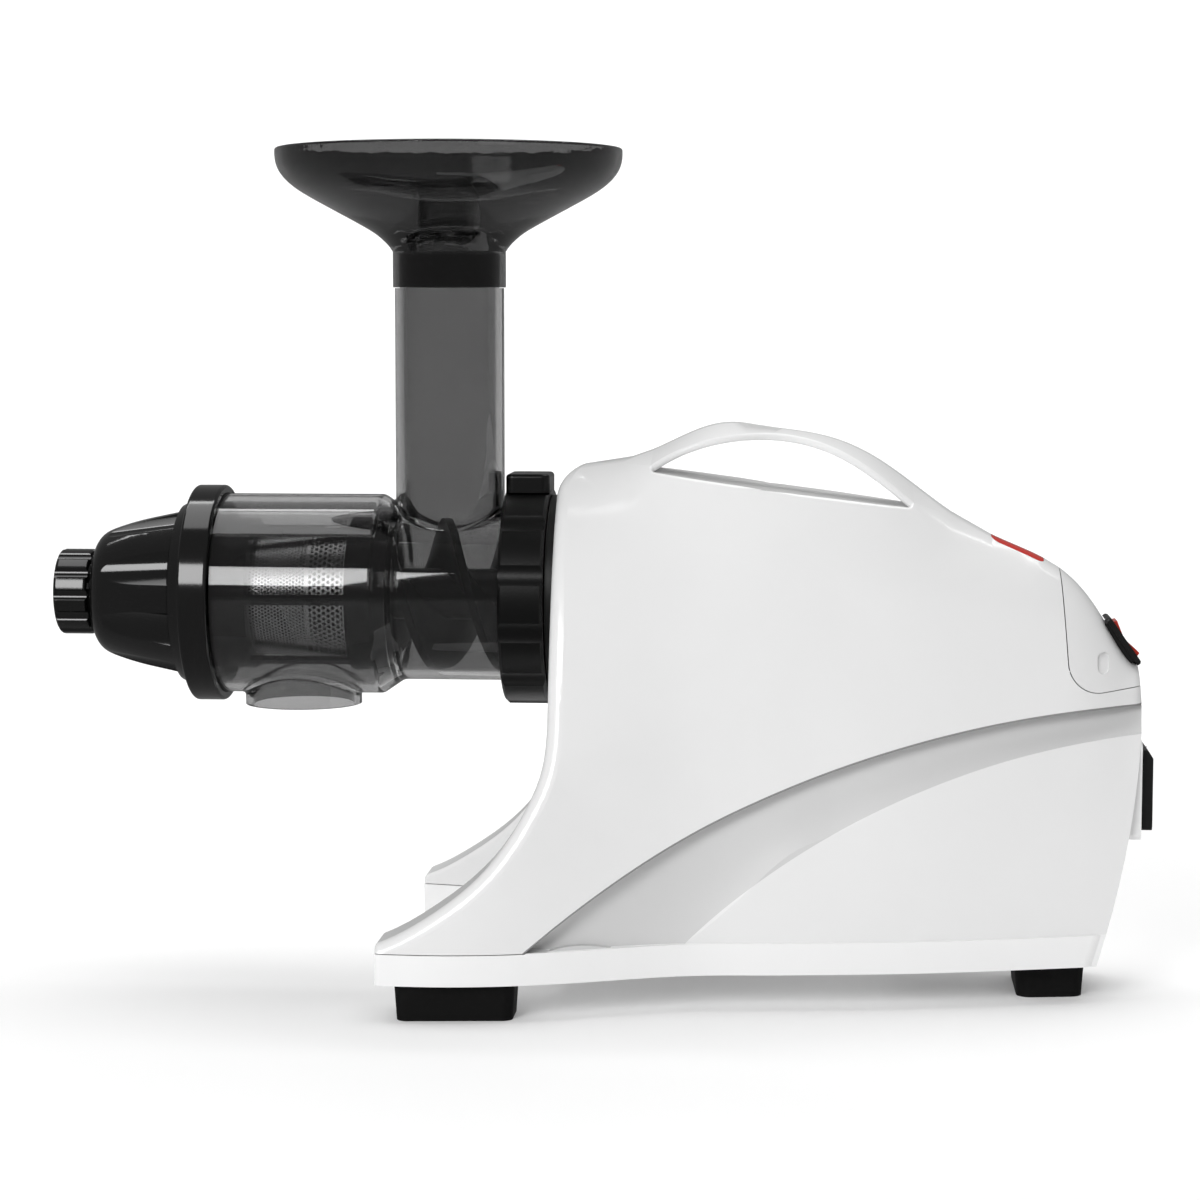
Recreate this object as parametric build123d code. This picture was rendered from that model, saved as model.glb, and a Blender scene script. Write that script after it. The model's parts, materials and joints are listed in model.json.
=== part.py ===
from build123d import *
import os
from math import acos, asin, atan2, cos, degrees, pi, radians, sin, sqrt, tan

# Cold press juicer: a horizontal auger machine on a moulded motor housing.
# +X runs from the juicing head to the mains inlet, +Z is up, and the part
# stands on Z = 0. Every size is in millimetres.

# ---- clearances --------------------------------------------------------------
GAP = 0.3                 # between pieces that turn or slide past each other
FIT = 0.15                # clearance round a piece that is clipped or let in
SHAFT_FIT = 0.05          # radial clearance of a shaft in its bearing

# ---- housing -----------------------------------------------------------------
AXIS_Z = 152.0            # height of the drum and auger axis
FACE_X = -15.0            # front face of the housing, where the port is bolted
REAR_X = 208.5            # rearmost point of the housing, above the inlet
TOE_X = -77.5             # front tips of the two legs
TAIL_X = 191.5            # rear end of the base
REAR_Z = 112.5            # the rear face leans forward below this height
FACE_Z = 113.0            # the front face is upright above this height
FOOT_H = 14.0             # height of the rubber feet
LIP_H = 12.0              # height of the base lip
LIP_STEP = 1.0            # the lower sides stand back this far from the lip
WALL = 3.2                # housing wall
FLOOR_T = 3.0             # floor of the lower housing
FLANGE_H = 4.0            # inward flange along the upper housing's lower edge
REAR_INSIDE_X = 204.0     # rear end of the inside space
SEAM_GAP = 0.4            # parting line between housing mouldings
COVE_DEPTH = 4.5          # depth of the scooped band under the parting line
COVE_SAG = 1.0            # hollow of the scooped band
HANDLE_ROUND = 1.5        # rounded edges of the handle opening
LEG_ROUND = 5.0           # rounded outer ridge of the legs and the front face
BAY_EDGE_ROUND = 3.0      # rounded inner ridge of the legs
REAR_ROUND = 7.0          # rounded sides of the rear face
TOE_ROUND = 2.0           # rounded corners of the toes, seen from above
LIP_Z = FOOT_H + LIP_H
# Stations of the housing: position, half width at the base, height of the
# crown over the handle, height of the crown under it, fullness, side swell.
STATIONS = [
    (-84.0, 80.0, 175.0, 175.0, 2.0, 0.00),
    (-60.0, 81.5, 189.0, 189.0, 2.0, 0.00),
    (-36.0, 79.5, 198.0, 198.0, 2.0, 0.00),
    (-14.0, 74.0, 203.0, 203.0, 2.0, 0.00),
    (10.0, 65.0, 205.5, 202.5, 2.1, 0.02),
    (35.0, 56.0, 215.6, 199.0, 2.1, 0.06),
    (62.0, 52.5, 218.4, 195.3, 2.1, 0.08),
    (90.0, 49.5, 213.7, 191.3, 2.1, 0.08),
    (118.0, 45.5, 198.5, 187.0, 2.15, 0.08),
    (142.0, 40.5, 181.5, 180.0, 2.3, 0.07),
    (168.0, 34.0, 169.3, 168.0, 2.4, 0.06),
    (192.0, 27.5, 148.0, 147.0, 2.4, 0.05),
    (214.0, 22.0, 127.0, 126.0, 2.4, 0.04),
]
SECTION_STEPS = 12

# Side outlines, in X and Z.
# Parting line between the housings.
SEAM_ARC = [(-22.0, LIP_Z), (92.0, 91.2), (205.0, 112.5)]
# Soft lower edge of the scooped band.
COVE_ARC = [(36.0, LIP_Z), (118.0, 80.5), (205.0, 101.8)]
# Upper edge of the legs.
LEG_SWEEP = [(-59.0, 38.6), (-36.0, 57.5), (-20.5, 82.0)]
# Round over the front face.
FACE_CROWN = [(-12.0, 199.0), (-3.0, 203.6)]
# Handle opening, upper edge.
GRIP_UPPER = [(22.0, 201.0), (42.4, 210.4), (63.0, 212.9), (88.0, 208.3), (108.5, 196.2), (119.0, 187.8)]
# Handle opening, lower edge.
GRIP_LOWER = [(119.0, 187.8), (70.0, 194.3), (22.0, 201.0)]

# ---- legs and bay between them -----------------------------------------------
BAY_HALF_FRONT = 57.0     # half width of the bay between the legs, at the toes
BAY_HALF_REAR = 46.0      # the same at the root of the legs
BAY_FACE_X = -18.4        # wall behind the bay
BAY_ROUND = 9.0           # rounded corners of the bay
TOE_H = 3.0               # height of the toe's front above the lip

# ---- posts, rest of the motor, air slots -------------------------------------
POST_X = 168.0            # screw posts between the housings, at the rear
POST_Y = 19.0
POST_R = 5.0
POST_SEAT_Z = 84.0        # seat of the post screws' heads
POST_BOSS_H = 18.0        # length of the post in the upper housing
POST_SCREW_L = 34.0
SCREW_R = 2.0             # shank of a housing screw
SCREW_HEAD_R = 3.6
LEG_SCREW_X = -36.0       # housing screws in the legs
LEG_SCREW_Y = 63.0
LEG_SCREW_GRIP = 20.0     # depth of those screws above the lip
SADDLE_X = 76.0           # rest under the motor
SADDLE_L = 14.0
SADDLE_W = 44.0
VENT_L = 50.0             # air slots in the floor
VENT_W = 4.0
VENT_X = 118.0
VENT_PITCH = 9.0
VENT_COUNT = 4

# ---- feet --------------------------------------------------------------------
# Corners of the near front foot.
FOOT_PLAN = [(-71.0, -78.5), (-26.0, -74.5), (-26.0, -52.0), (-71.0, -57.5)]
FOOT_TAPER = 4.0          # draft of the feet, in degrees
REAR_FOOT_X = 161.0       # front of the rear foot
REAR_FOOT_L = 27.0
REAR_FOOT_W = 44.0
REAR_SCREW_Y = 11.0       # screws of the rear foot
FOOT_SCREW_X = -57.0      # screws of the front feet
FOOT_SCREW_Y = 66.5
FOOT_SCREW_R = 1.8
FOOT_SCREW_HEAD_R = 3.4
FOOT_SCREW_SEAT = 6.0     # seat of the foot screws' heads
FOOT_SCREW_GRIP = 10.0    # depth of those screws in the housing

# ---- rear cover, lens --------------------------------------------------------
PAD_TOP = (194.0, 145.6)  # inclined pad that carries the switch, in X and Z
PAD_LOW = (207.6, 126.2)
COVER_CORNER = (180.5, 117.0)# lower front corner of the rear cover, in X and Z
COVER_FRONT_X = 175.5     # top front corner of the cover
COVER_ROUND = 12.0
COVER_LINE = 0.35         # gap round the rear cover
DIMPLE_X = 193.1          # oval dimple on the near side of the cover
DIMPLE_Z = 129.0
DIMPLE_DEPTH = 1.0
LENS_X = 161.0            # middle of the lens
LENS_L = 20.0
LENS_W = 15.0
LENS_GAP = 0.15           # gap round the lens

# ---- switch and inlet --------------------------------------------------------
SWITCH_L = 22.0
SWITCH_W = 16.0
SWITCH_T = 2.0            # bezel
SWITCH_DEPTH = 16.0       # body behind the bezel
ROCKER_L = 16.5
ROCKER_W = 10.5
ROCKER_RISE = 3.2         # height of the rocker's ends
ROCKER_WAIST = 1.6        # height of the rocker's waist
ROCKER_WELL = 9.0         # depth of the well under the rocker
ROCKER_PIN_R = 1.2
INLET_W = 27.0
INLET_H = 32.0
INLET_T = 4.6             # flange
INLET_Z = 80.0
INLET_DEPTH = 17.0
INLET_BODY_W = 20.0       # body behind the inlet flange
INLET_BODY_H = 18.0
INLET_RECESS = 13.0       # depth of the recess for the plug
INLET_SCREW_Z = 12.6      # inlet screws, above and below the middle
INLET_HEAD_R = 2.2
BOSS_W = 36.0
BOSS_H = 38.0
BOSS_X = 208.4            # face that the inlet is screwed to
BOSS_ROOT_X = 196.0       # front of the boss that carries the inlet

# ---- port and locking collar -------------------------------------------------
PORT_FLANGE_T = 3.2
PORT_R = 39.0
PORT_BORE = 13.2          # passage of the drive head
PORT_LUG_R = 36.4         # outside of the bayonet lugs
PORT_SCREW_R = 2.0
PORT_SCREW_L = 14.5
PORT_SCREW_PITCH = 24.0   # radius of the screw circle
SLEEVE_R = 34.0           # sleeve of the port
SLEEVE_BORE = 30.5
LUG_COUNT = 3
LUG_T = 4.0               # bayonet lugs of the port and the collar
LUG_ARC = 44.0
COLLAR_L = 17.3
COLLAR_R = 42.4
COLLAR_BORE = 37.0
COLLAR_LIP_T = 3.5        # front lip, over the drum flange
COLLAR_LOBES = 12
COLLAR_GROOVE = 1.1       # depth of the grooves
COLLAR_GROOVE_R = 9.0     # radius of the cutter of its grooves
COLLAR_TAB_H = 7.2
COLLAR_TAB_L = 17.0
COLLAR_TAB_W = 24.0

# ---- drum --------------------------------------------------------------------
NECK_R = 33.5
NECK_BORE = 30.2
BARREL_R = 39.0
BARREL_BORE = 36.0
SHOULDER_X = -76.5        # end of the neck tube, start of the shoulder
BARREL_X = -84.5          # end of the shoulder, start of the barrel
BARREL_END_X = -153.4
DRUM_FLANGE_T = 3.0
DRUM_FLANGE_R = 36.6      # flange behind the drum's neck
SEAL_R = 12.4             # outside of the shaft seal
CHUTE_X = -58.5
CHUTE_R = 21.2
CHUTE_BORE = 17.8
CHUTE_TOP_Z = 271.0
SPIGOT_R = 19.3           # spigot that the hopper drops over
SPIGOT_H = 13.0
SPOUT_X = -117.0
SPOUT_R = 22.8
SPOUT_BORE = 20.0
SPOUT_Z = 108.6           # lower end of the juice spout
SADDLE_ROUND = 1.2        # round where chute and spout join the tube
CAP_LUG_H = 1.6           # lugs that hold the cap
CAP_LUG_T = 3.2
CAP_LUG_ARC = 24.0        # width of a cap lug

# ---- screen and its frame ----------------------------------------------------
SCREEN_REAR_X = -94.5
SCREEN_FRONT_X = -136.0
SCREEN_REAR_R = 26.9
SCREEN_FRONT_R = 23.6
SCREEN_T = 0.8            # sheet of the screen
FRAME_REAR_X = -80.6      # rear face of the frame
FRAME_RING_R = 29.9       # outside of the rear ring
FRAME_BORE = 26.6         # bore of the rear ring
FRAME_SEAT_L = 5.4        # lap of the frame's rear ring in the neck
FRAME_FRONT_R = 29.5      # outside of the front ring
FRAME_FLANGE_X = -150.4   # flange at the mouth of the drum
FRAME_FLANGE_R = 35.6
FRAME_BARS = 6
FRAME_BAR_W = 4.0         # bars between the rings
FRAME_BAR_T = 1.8
FRAME_BAR_R = 28.3

# ---- auger -------------------------------------------------------------------
AUGER_GAP = 0.4           # between the flights and the screen or neck
AUGER_REAR_X = -33.8
AUGER_TIP_X = -181.0
AUGER_FLIGHT_END = -156.0 # front end of the flights
AUGER_TAPER_X = -150.0    # envelope of the flights at the mouth
AUGER_TAPER_R = 21.2
AUGER_CORE_REAR = 11.0    # core radius behind
AUGER_CORE_FRONT = 19.0   # core radius in front
AUGER_LEAD = 52.0         # advance of a flight in one turn
AUGER_STARTS = 2
AUGER_BLADE = 62.0        # angle that each flight covers at its root
AUGER_RIM = 20.0          # angle that each flight covers at its rim
AUGER_SHAFT_R = 9.0       # auger's shaft in the seal
AUGER_HEX_L = 14.0        # length of the hexagon, from the auger's rear face
DRIVE_HEX = 12.0          # hexagon across its flats
HEX_GAP = 0.1             # clearance on each flat of the hexagon

# ---- end cap and adjusting knob ----------------------------------------------
CAP_BACK_X = -147.0       # rear face of the ring
CAP_RING_R = 42.3
CAP_RING_FRONT_X = -158.2 # front face of the ring
CAP_RING_BORE = 39.3
CAP_GROOVE_R = 40.9       # locking groove inside the ring
CAP_MOUTH_R = 25.5        # mouth of the inner cone
CAP_THROAT_X = -183.0     # narrow end of the inner cone
CAP_NOSE_X = -197.6       # front of the cap
# Outline of the nose, (x, radius).
CAP_PROFILE = [(-197.6, 19.5), (-194.9, 23.2), (-190.1, 25.5), (-180.5, 28.4), (-171.0, 30.5), (-164.5, 31.9)]
CAP_LEDGE = [(-163.5, 34.5), (-159.5, 36.5)]# ledge behind the flutes
CAP_TURN = 30.0           # twist that frees the cap
FLUTES = 8
FLUTE_R = 12.0            # radius of the cutter of the flutes
FLUTE_START_X = -192.0    # where the flutes run out towards the nose
FLUTE_RISE = 4.0          # how far a flute rises over its length
FLUTE_DEPTH = 3.0
KNOB_X = -213.0           # front of the knob
KNOB_REAR_X = -199.6      # rear of the knob wheel
KNOB_STEM_X = -186.0      # rear end of the knob's stem
KNOB_R = 16.8
KNOB_LOBES = 12
KNOB_BORE = 9.0           # pulp outlet
KNOB_STEM_R = 12.6        # stem in the cap

# ---- hopper ------------------------------------------------------------------
HOPPER_NECK_R = 21.9
# Outside, (height, radius).
HOPPER_PROFILE = [(285.0, 21.9), (287.3, 23.5), (289.6, 25.8), (291.9, 28.6), (294.2, 32.3), (298.8, 40.7),
                  (303.5, 49.4), (308.1, 57.4), (312.8, 63.2), (317.4, 66.2), (321.0, 67.0), (324.5, 67.0)]
# Inside, (height, radius).
HOPPER_INSIDE = [(286.0, 17.8), (289.5, 20.5), (292.5, 25.0), (295.5, 30.6), (300.0, 39.6), (305.0, 48.9),
                 (310.0, 57.0), (314.6, 61.6), (318.6, 63.9), (321.5, 64.5), (324.5, 64.6)]

# ---- gears and gear case -----------------------------------------------------
PRESSURE_ANGLE = 25.0
FAST_MODULE = 1.0         # module of the motor pinion and its wheel
SLOW_MODULE = 1.25        # module of the output gear and its pinion
PINION_TEETH = 12
WHEEL_TEETH = 60
FINAL_TEETH = 54
BACKLASH = 0.24           # play between two teeth, along the pitch circle
LAY_Z = AXIS_Z - SLOW_MODULE * (PINION_TEETH + FINAL_TEETH) / 2
MOTOR_Z = LAY_Z - FAST_MODULE * (PINION_TEETH + WHEEL_TEETH) / 2
CASE_FRONT_X = -10.8      # front face of the gear case
CASE_SPLIT_X = 16.0       # joint between the two halves of the gear case
CASE_WALL = 3.5
PLATE_X = 27.0            # wall between the gears and the motor
PLATE_T = 4.5
NOSE_R = 19.5             # nose of the gear case in the housing face
FRONT_ROOM = [(AXIS_Z, 35.5), (LAY_Z, 20.0)]# circles that the room of the slow gears wraps
REAR_ROOM = [(AXIS_Z, 17.5), (LAY_Z, 33.0), (MOTOR_Z, 10.5)]# circles that the room of the fast gears wraps
EAR_L = 10.0              # ears of the case bolts
EAR_R = 5.0
CASE_BOLTS = [(35.5, 128.0), (28.5, 82.0)]# places of the case bolts, in Y and Z
CASE_BOLT_R = 2.0

# ---- output shaft and middle shaft -------------------------------------------
OUT_GEAR_X = 2.0          # slow gears
OUT_GEAR_END = 14.0
OUT_SHAFT_R = 8.5         # output shaft in its front bearing
OUT_TAIL_R = 6.0          # output shaft in its gear and rear bearing
OUT_BEARING_X = -14.5     # front bearing of the output shaft
OUT_BEARING_L = 10.0
OUT_BEARING_R = 17.5
OUT_REAR_X = 26.5         # rear bearing of the output shaft
OUT_REAR_L = 8.0
OUT_REAR_R = 14.0
DRIVE_HEAD_X = -28.5      # front of the drive head
DRIVE_HEAD_END = -15.6
DRIVE_HEAD_R = 12.5
DRIVE_POCKET = 10.5       # depth of the drive head's hexagon
LAY_SHAFT_R = 4.0
LAY_WHEEL_X = 17.0        # fast gears
LAY_WHEEL_END = 25.0
LAY_FRONT_X = -6.8        # bearings of the middle shaft
LAY_REAR_X = 26.2
LAY_BEARING_L = 7.0
LAY_BEARING_R = 11.0

# ---- motor -------------------------------------------------------------------
MOTOR_R = 35.0
MOTOR_FRONT_X = 34.0      # front end of the motor
MOTOR_REAR_X = 116.0      # rear end of the motor
MOTOR_SHAFT_R = 4.0
MOTOR_PAD_R = 33.0        # pad that the motor is bolted to
MOTOR_PINION_HOLE = 9.0   # passage of the motor pinion
MOTOR_BOLT_R = 2.0
MOTOR_BOLT_PITCH = 26.0   # radius of the bolt circle
MOTOR_BEARING_R = 11.0
MOTOR_BEARING_L = 7.0
PINION_BORE = 3.0         # bore of the motor pinion
SHIELD_T = 3.5
SHIELD_SEAT = 8.0         # depth of the bearing's seat in an end shield
STATOR_X = 52.0           # front of the stator
STATOR_L = 46.0
STATOR_SLOTS = 12
ROTOR_R = 20.0
ROTOR_GAP = 0.4           # air gap
COIL_L = 8.0              # end turns of the winding
COIL_R = 31.0
FAN_X = 118.0             # cooling fan
FAN_L = 10.0
FAN_R = 28.0
FAN_HUB_R = 9.0
FAN_BLADES = 8
CAPACITOR_X = 62.0        # run capacitor above the motor
CAPACITOR_L = 55.0
CAPACITOR_R = 17.5
CAPACITOR_Z = 150.0

# ---- places along the axis that follow from the sizes above -----------------
PORT_FRONT_X = FACE_X - PORT_FLANGE_T
COLLAR_REAR_X = PORT_FRONT_X - GAP
COLLAR_FRONT_X = COLLAR_REAR_X - COLLAR_L
DRUM_FLANGE_X = COLLAR_FRONT_X + COLLAR_LIP_T + GAP
DRUM_REAR_X = DRUM_FLANGE_X + DRUM_FLANGE_T
SLEEVE_X = DRUM_REAR_X + GAP


# ---- helpers ---------------------------------------------------------------
def turned(points, height=AXIS_Z):
    """Solid of revolution about a level axis, from corners given as (x, r)."""
    profile = Plane.XZ * make_face(Polyline(points, close=True))
    return Pos(0, 0, height) * revolve(profile, Axis.X)


def tube(x_a, x_b, outer, inner=0.0, height=AXIS_Z):
    """Straight tube or rod along a level axis."""
    ring = Circle(outer)
    if inner > 0:
        ring -= Circle(inner)
    plane = Plane.YZ.offset(min(x_a, x_b))
    return Pos(0, 0, height) * extrude(plane * ring, abs(x_b - x_a))


def around(shape, count, start=0.0, height=AXIS_Z):
    """Copies of a shape turned evenly about a level axis."""
    low = Pos(0, 0, -height) * shape
    return [Pos(0, 0, height) * Rot(start + 360 * i / count, 0, 0) * low for i in range(count)]


def wedge(x_a, x_b, inner, outer, middle, width):
    """Sector of a ring about the drum axis, centred on an angle from the top."""
    half = radians(width / 2)
    reach = 2 * outer
    sector = Polyline((0, 0), (-reach * tan(half), reach), (reach * tan(half), reach), close=True)
    ring = (Circle(outer) - Circle(inner)) & make_face(sector)
    solid = extrude(Plane.YZ.offset(min(x_a, x_b)) * ring, abs(x_b - x_a))
    return Pos(0, 0, AXIS_Z) * Rot(middle, 0, 0) * solid


def side_prism(outline, reach=120.0):
    """Prism across the machine from a closed outline drawn in X and Z."""
    return extrude(Plane.XZ * make_face(outline), reach, both=True)


def upright(sketch, low, high):
    """Prism from a sketch in X and Y, between two heights."""
    return Pos(0, 0, low) * extrude(sketch, high - low)


def mirrored(shape):
    """The same shape on the other side of the machine."""
    return mirror(shape, Plane.XZ)


def fuse(shapes):
    """One solid from a list of overlapping ones."""
    total = shapes[0]
    for shape in shapes[1:]:
        total += shape
    return total


# ---- housing form ----------------------------------------------------------
def arc_height(x, points):
    """Height at x of the upper arc through three points."""
    (ax, az), (bx, bz), (cx, cz) = points
    d = 2 * (ax * (bz - cz) + bx * (cz - az) + cx * (az - bz))
    a2, b2, c2 = ax**2 + az**2, bx**2 + bz**2, cx**2 + cz**2
    ox = (a2 * (bz - cz) + b2 * (cz - az) + c2 * (az - bz)) / d
    oz = (a2 * (cx - bx) + b2 * (ax - cx) + c2 * (bx - ax)) / d
    return oz + sqrt((ax - ox) ** 2 + (az - oz) ** 2 - (x - ox) ** 2)


def section_point(station, angle, inset, crown):
    """Point (y, z) of a housing section at an angle from its base line."""
    power, swell = station[4], station[5]
    side = (station[1] - inset) * abs(cos(angle)) ** (2 / power)
    side *= 1 + swell * abs(sin(2 * angle))
    rise = (crown - inset - LIP_Z) * sin(angle) ** (2 / power)
    return (side if angle < pi / 2 else -side), LIP_Z + rise


def side_at(station, height, inset):
    """Half width of a housing section at a height above the base lip."""
    share = max(0.0, (height - LIP_Z) / (station[2] - inset - LIP_Z))
    angle = asin(share ** (station[4] / 2))
    return section_point(station, angle, inset, station[2])[0]


def housing_form(inset, under_handle, base):
    """Lofted form of the housing, drawn in by inset, from the height base up."""
    sections = []
    for station in STATIONS:
        crown = station[3] if under_handle else station[2]
        half = station[1] - inset
        turns = [pi * step / SECTION_STEPS for step in range(1, SECTION_STEPS)]
        curve = [(half, LIP_Z)]
        curve += [section_point(station, turn, inset, crown) for turn in turns]
        curve += [(-half, LIP_Z)]
        edges = Spline(curve)
        edges += Polyline([(-half, LIP_Z), (-half, base), (half, base), (half, LIP_Z)])
        sections.append(Plane.YZ.offset(station[0]) * make_face(edges))
    return loft(sections)


def silhouette():
    """Side outline of the housing: legs, front face, switch pad and rear."""
    top = 260.0
    edges = Line((TOE_X, 0), (TOE_X, LIP_Z + TOE_H))
    edges += Spline([(TOE_X, LIP_Z + TOE_H), *LEG_SWEEP, (FACE_X, FACE_Z)], tangents=[(1, 0.35), (0, 1)])
    edges += Line((FACE_X, FACE_Z), (FACE_X, AXIS_Z + PORT_R))
    edges += ThreePointArc((FACE_X, AXIS_Z + PORT_R), *FACE_CROWN)
    edges += Polyline(FACE_CROWN[1], (FACE_CROWN[1][0], top), (PAD_TOP[0], top), PAD_TOP)
    edges += Polyline(PAD_TOP, PAD_LOW, (REAR_X, REAR_Z))
    edges += ThreePointArc((REAR_X, REAR_Z), (REAR_X - 5.0, 64.0), (TAIL_X, FOOT_H))
    edges += Polyline((TAIL_X, FOOT_H), (TAIL_X, 0), (TOE_X, 0))
    return side_prism(edges)


def leg_bay():
    """Open bay between the two legs."""
    corners = [(-100.0, -BAY_HALF_FRONT - 4), (-30.0, -BAY_HALF_REAR), (BAY_FACE_X, -BAY_HALF_REAR + 8)]
    corners += [(x, -y) for x, y in reversed(corners)]
    plan = make_face(Polyline(corners, close=True))
    plan = fillet(plan.vertices().filter_by(lambda v: v.X > -99), BAY_ROUND)
    return upright(plan, 0.0, 92.0)


def grip_opening():
    """Opening under the handle."""
    edges = Spline(GRIP_UPPER) + Spline(GRIP_LOWER)
    return side_prism(edges)


def above_seam(rise):
    """Everything over the parting line between the two housings."""
    (ax, az), (bx, bz), (cx, cz) = SEAM_ARC
    edges = Line((-120.0, az), (ax, az)) + ThreePointArc((ax, az), (bx, bz), (cx, cz))
    edges += Polyline((cx, cz), (240.0, cz), (240.0, 300.0), (-120.0, 300.0), (-120.0, az))
    return Pos(0, 0, rise) * side_prism(edges)


def cover_region(spread):
    """Everything behind and over the rear cover's outline."""
    x, z = COVER_CORNER[0] - spread, COVER_CORNER[1] - spread
    outline = Polyline((COVER_FRONT_X - spread, 190.0), (x, z), (240.0, z + 6), (240.0, 190.0), close=True)
    face = make_face(outline)
    corner = face.vertices().filter_by(lambda v: abs(v.X - x) < 0.01 and abs(v.Y - z) < 0.01)
    face = fillet(corner, COVER_ROUND + spread)
    return extrude(Plane.XZ * face, 120.0, both=True)


def lens_region(spread, low, high):
    """Upright prism of the indicator lens."""
    plan = Pos(LENS_X, 0) * RectangleRounded(LENS_L + 2 * spread, LENS_W + 2 * spread, 3.0 + spread)
    return upright(plan, low, high)


def span(edge):
    """Box of an edge as (low corner, high corner)."""
    box = edge.bounding_box()
    return box.min, box.max


def leg_ridge_edges(shape):
    """Outer ridges of the legs and of the front face."""
    edges = [edge for edge in shape.edges() if span(edge)[1].X < FACE_X + 0.1 and edge.length > 50]
    return [edge for edge in edges if abs(edge.center().Y) > 60 and span(edge)[1].Z > FACE_Z - 1]


def bay_ridge_edges(shape):
    """Upper edges of the bay between the legs."""
    edges = [edge for edge in shape.edges() if span(edge)[1].X < BAY_FACE_X + 0.1]
    edges = [edge for edge in edges if span(edge)[0].Z > LIP_Z + TOE_H - 0.1]
    edges = [edge for edge in edges if 10 < abs(edge.center().Y) < 57]
    return [edge for edge in edges if span(edge)[1].Z - span(edge)[0].Z > 0.5 or span(edge)[0].Z > 80]


def rear_edges(shape):
    """Side edges of the rear face, below the switch pad."""
    edges = [edge for edge in shape.edges() if span(edge)[0].X > TAIL_X - 1]
    edges = [edge for edge in edges if span(edge)[1].Z < REAR_Z + 0.1 and edge.geom_type == GeomType.BSPLINE]
    return [edge for edge in edges if span(edge)[1].Z - span(edge)[0].Z > 5]


def grip_edges(shape):
    """Edges of the handle opening on both sides."""
    low, high = GRIP_UPPER[0][0] - 1, GRIP_UPPER[-1][0] + 1
    edges = [edge for edge in shape.edges() if span(edge)[0].X > low and span(edge)[1].X < high]
    return [edge for edge in edges if edge.length > 90 and abs(edge.center().Y) > 5]


def toe_edges(shape):
    """Upright corners of the toes."""
    edges = [edge for edge in shape.edges() if span(edge)[1].X < TOE_X + 0.1]
    return [edge for edge in edges if span(edge)[1].Z - span(edge)[0].Z > 2]


def housing_outside():
    """Outer form of the whole housing, with its handle and rounded edges."""
    form = (housing_form(0, False, FOOT_H) & silhouette()) - leg_bay() - grip_opening()
    form = fillet(leg_ridge_edges(form), LEG_ROUND)
    form = fillet(bay_ridge_edges(form), BAY_EDGE_ROUND)
    form = fillet(rear_edges(form), REAR_ROUND)
    form = fillet(grip_edges(form), HANDLE_ROUND)
    return fillet(toe_edges(form), TOE_ROUND)


def cavity(inset, base):
    """Inside space of the housing, with its walls drawn in by inset."""
    reach = Pos((FACE_X + WALL + REAR_INSIDE_X) / 2, 0, 150) * Box(REAR_INSIDE_X - FACE_X - WALL, 300, 300)
    lean = side_prism(Polyline((-200, 0), (TAIL_X - 3 * WALL, 0), (REAR_X - 3 * WALL, REAR_Z),
                               (PAD_LOW[0] - 3 * WALL, PAD_LOW[1] - WALL),
                               (PAD_TOP[0] - 2 * WALL, PAD_TOP[1] - WALL), (-200, 300), close=True))
    return housing_form(inset, True, base) & reach & lean


def cove_cutter():
    """Cuts the scooped band under the parting line, on one side."""
    sections = []
    for station in STATIONS[2:]:
        x = station[0]
        top = max(LIP_Z + 1.0, arc_height(x, SEAM_ARC)) if x > SEAM_ARC[0][0] else LIP_Z + 1.0
        foot = max(LIP_Z, arc_height(x, COVE_ARC)) if x > COVE_ARC[0][0] else LIP_Z
        share = min(1.0, max(0.0, (COVE_ARC[0][0] - x) / 50.0))
        low = side_at(station, foot, LIP_STEP) - share * COVE_DEPTH
        high = side_at(station, top, LIP_STEP) - COVE_DEPTH
        middle = ((low + high) / 2 - COVE_SAG, (foot + top) / 2)
        edges = ThreePointArc((low, foot), middle, (high, top))
        edges += Polyline((high, top), (high, top + 3), (130.0, top + 3), (130.0, foot), (low, foot))
        sections.append(Plane.YZ.offset(x) * make_face(edges))
    return loft(sections)


# ---- fasteners -------------------------------------------------------------
def screw(place, turn, shank, length, head, head_t):
    """Screw with a hexagon socket: head behind the place, shank ahead of it."""
    body = extrude(Circle(shank), length) + extrude(Circle(head), -head_t)
    socket = Pos(0, 0, -head_t) * extrude(RegularPolygon(head * 0.5, 6), head_t * 0.6)
    return Pos(*place) * turn * (body - socket)


def ring_places(x, radius, count, start, height=AXIS_Z):
    """Even places on a circle about a level axis."""
    angles = [radians(start + 360 * i / count) for i in range(count)]
    return [(x, radius * sin(angle), height + radius * cos(angle)) for angle in angles]


TO_REAR = Rot(0, 90, 0)
TO_FRONT = Rot(0, -90, 0)
TO_TOP = Rot(0, 0, 0)


# ---- port, collar, drum ----------------------------------------------------
def drum_port():
    """Bayonet port bolted to the housing face."""
    port = turned([(FACE_X, PORT_BORE), (FACE_X, PORT_R), (PORT_FRONT_X, PORT_R), (PORT_FRONT_X, SLEEVE_R),
                   (SLEEVE_X, SLEEVE_R), (SLEEVE_X, SLEEVE_BORE), (PORT_FRONT_X, SLEEVE_BORE),
                   (PORT_FRONT_X, PORT_BORE)])
    lug = wedge(SLEEVE_X, SLEEVE_X + LUG_T, SLEEVE_R - 1, PORT_LUG_R, 0, LUG_ARC)
    port = fuse([port, *around(lug, LUG_COUNT)])
    hole = tube(PORT_FRONT_X - 1, FACE_X + 1, PORT_SCREW_R + 0.2, height=0)
    return port - [Pos(0, y, z) * hole for _, y, z in ring_places(0, PORT_SCREW_PITCH, 4, 45)]


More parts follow.
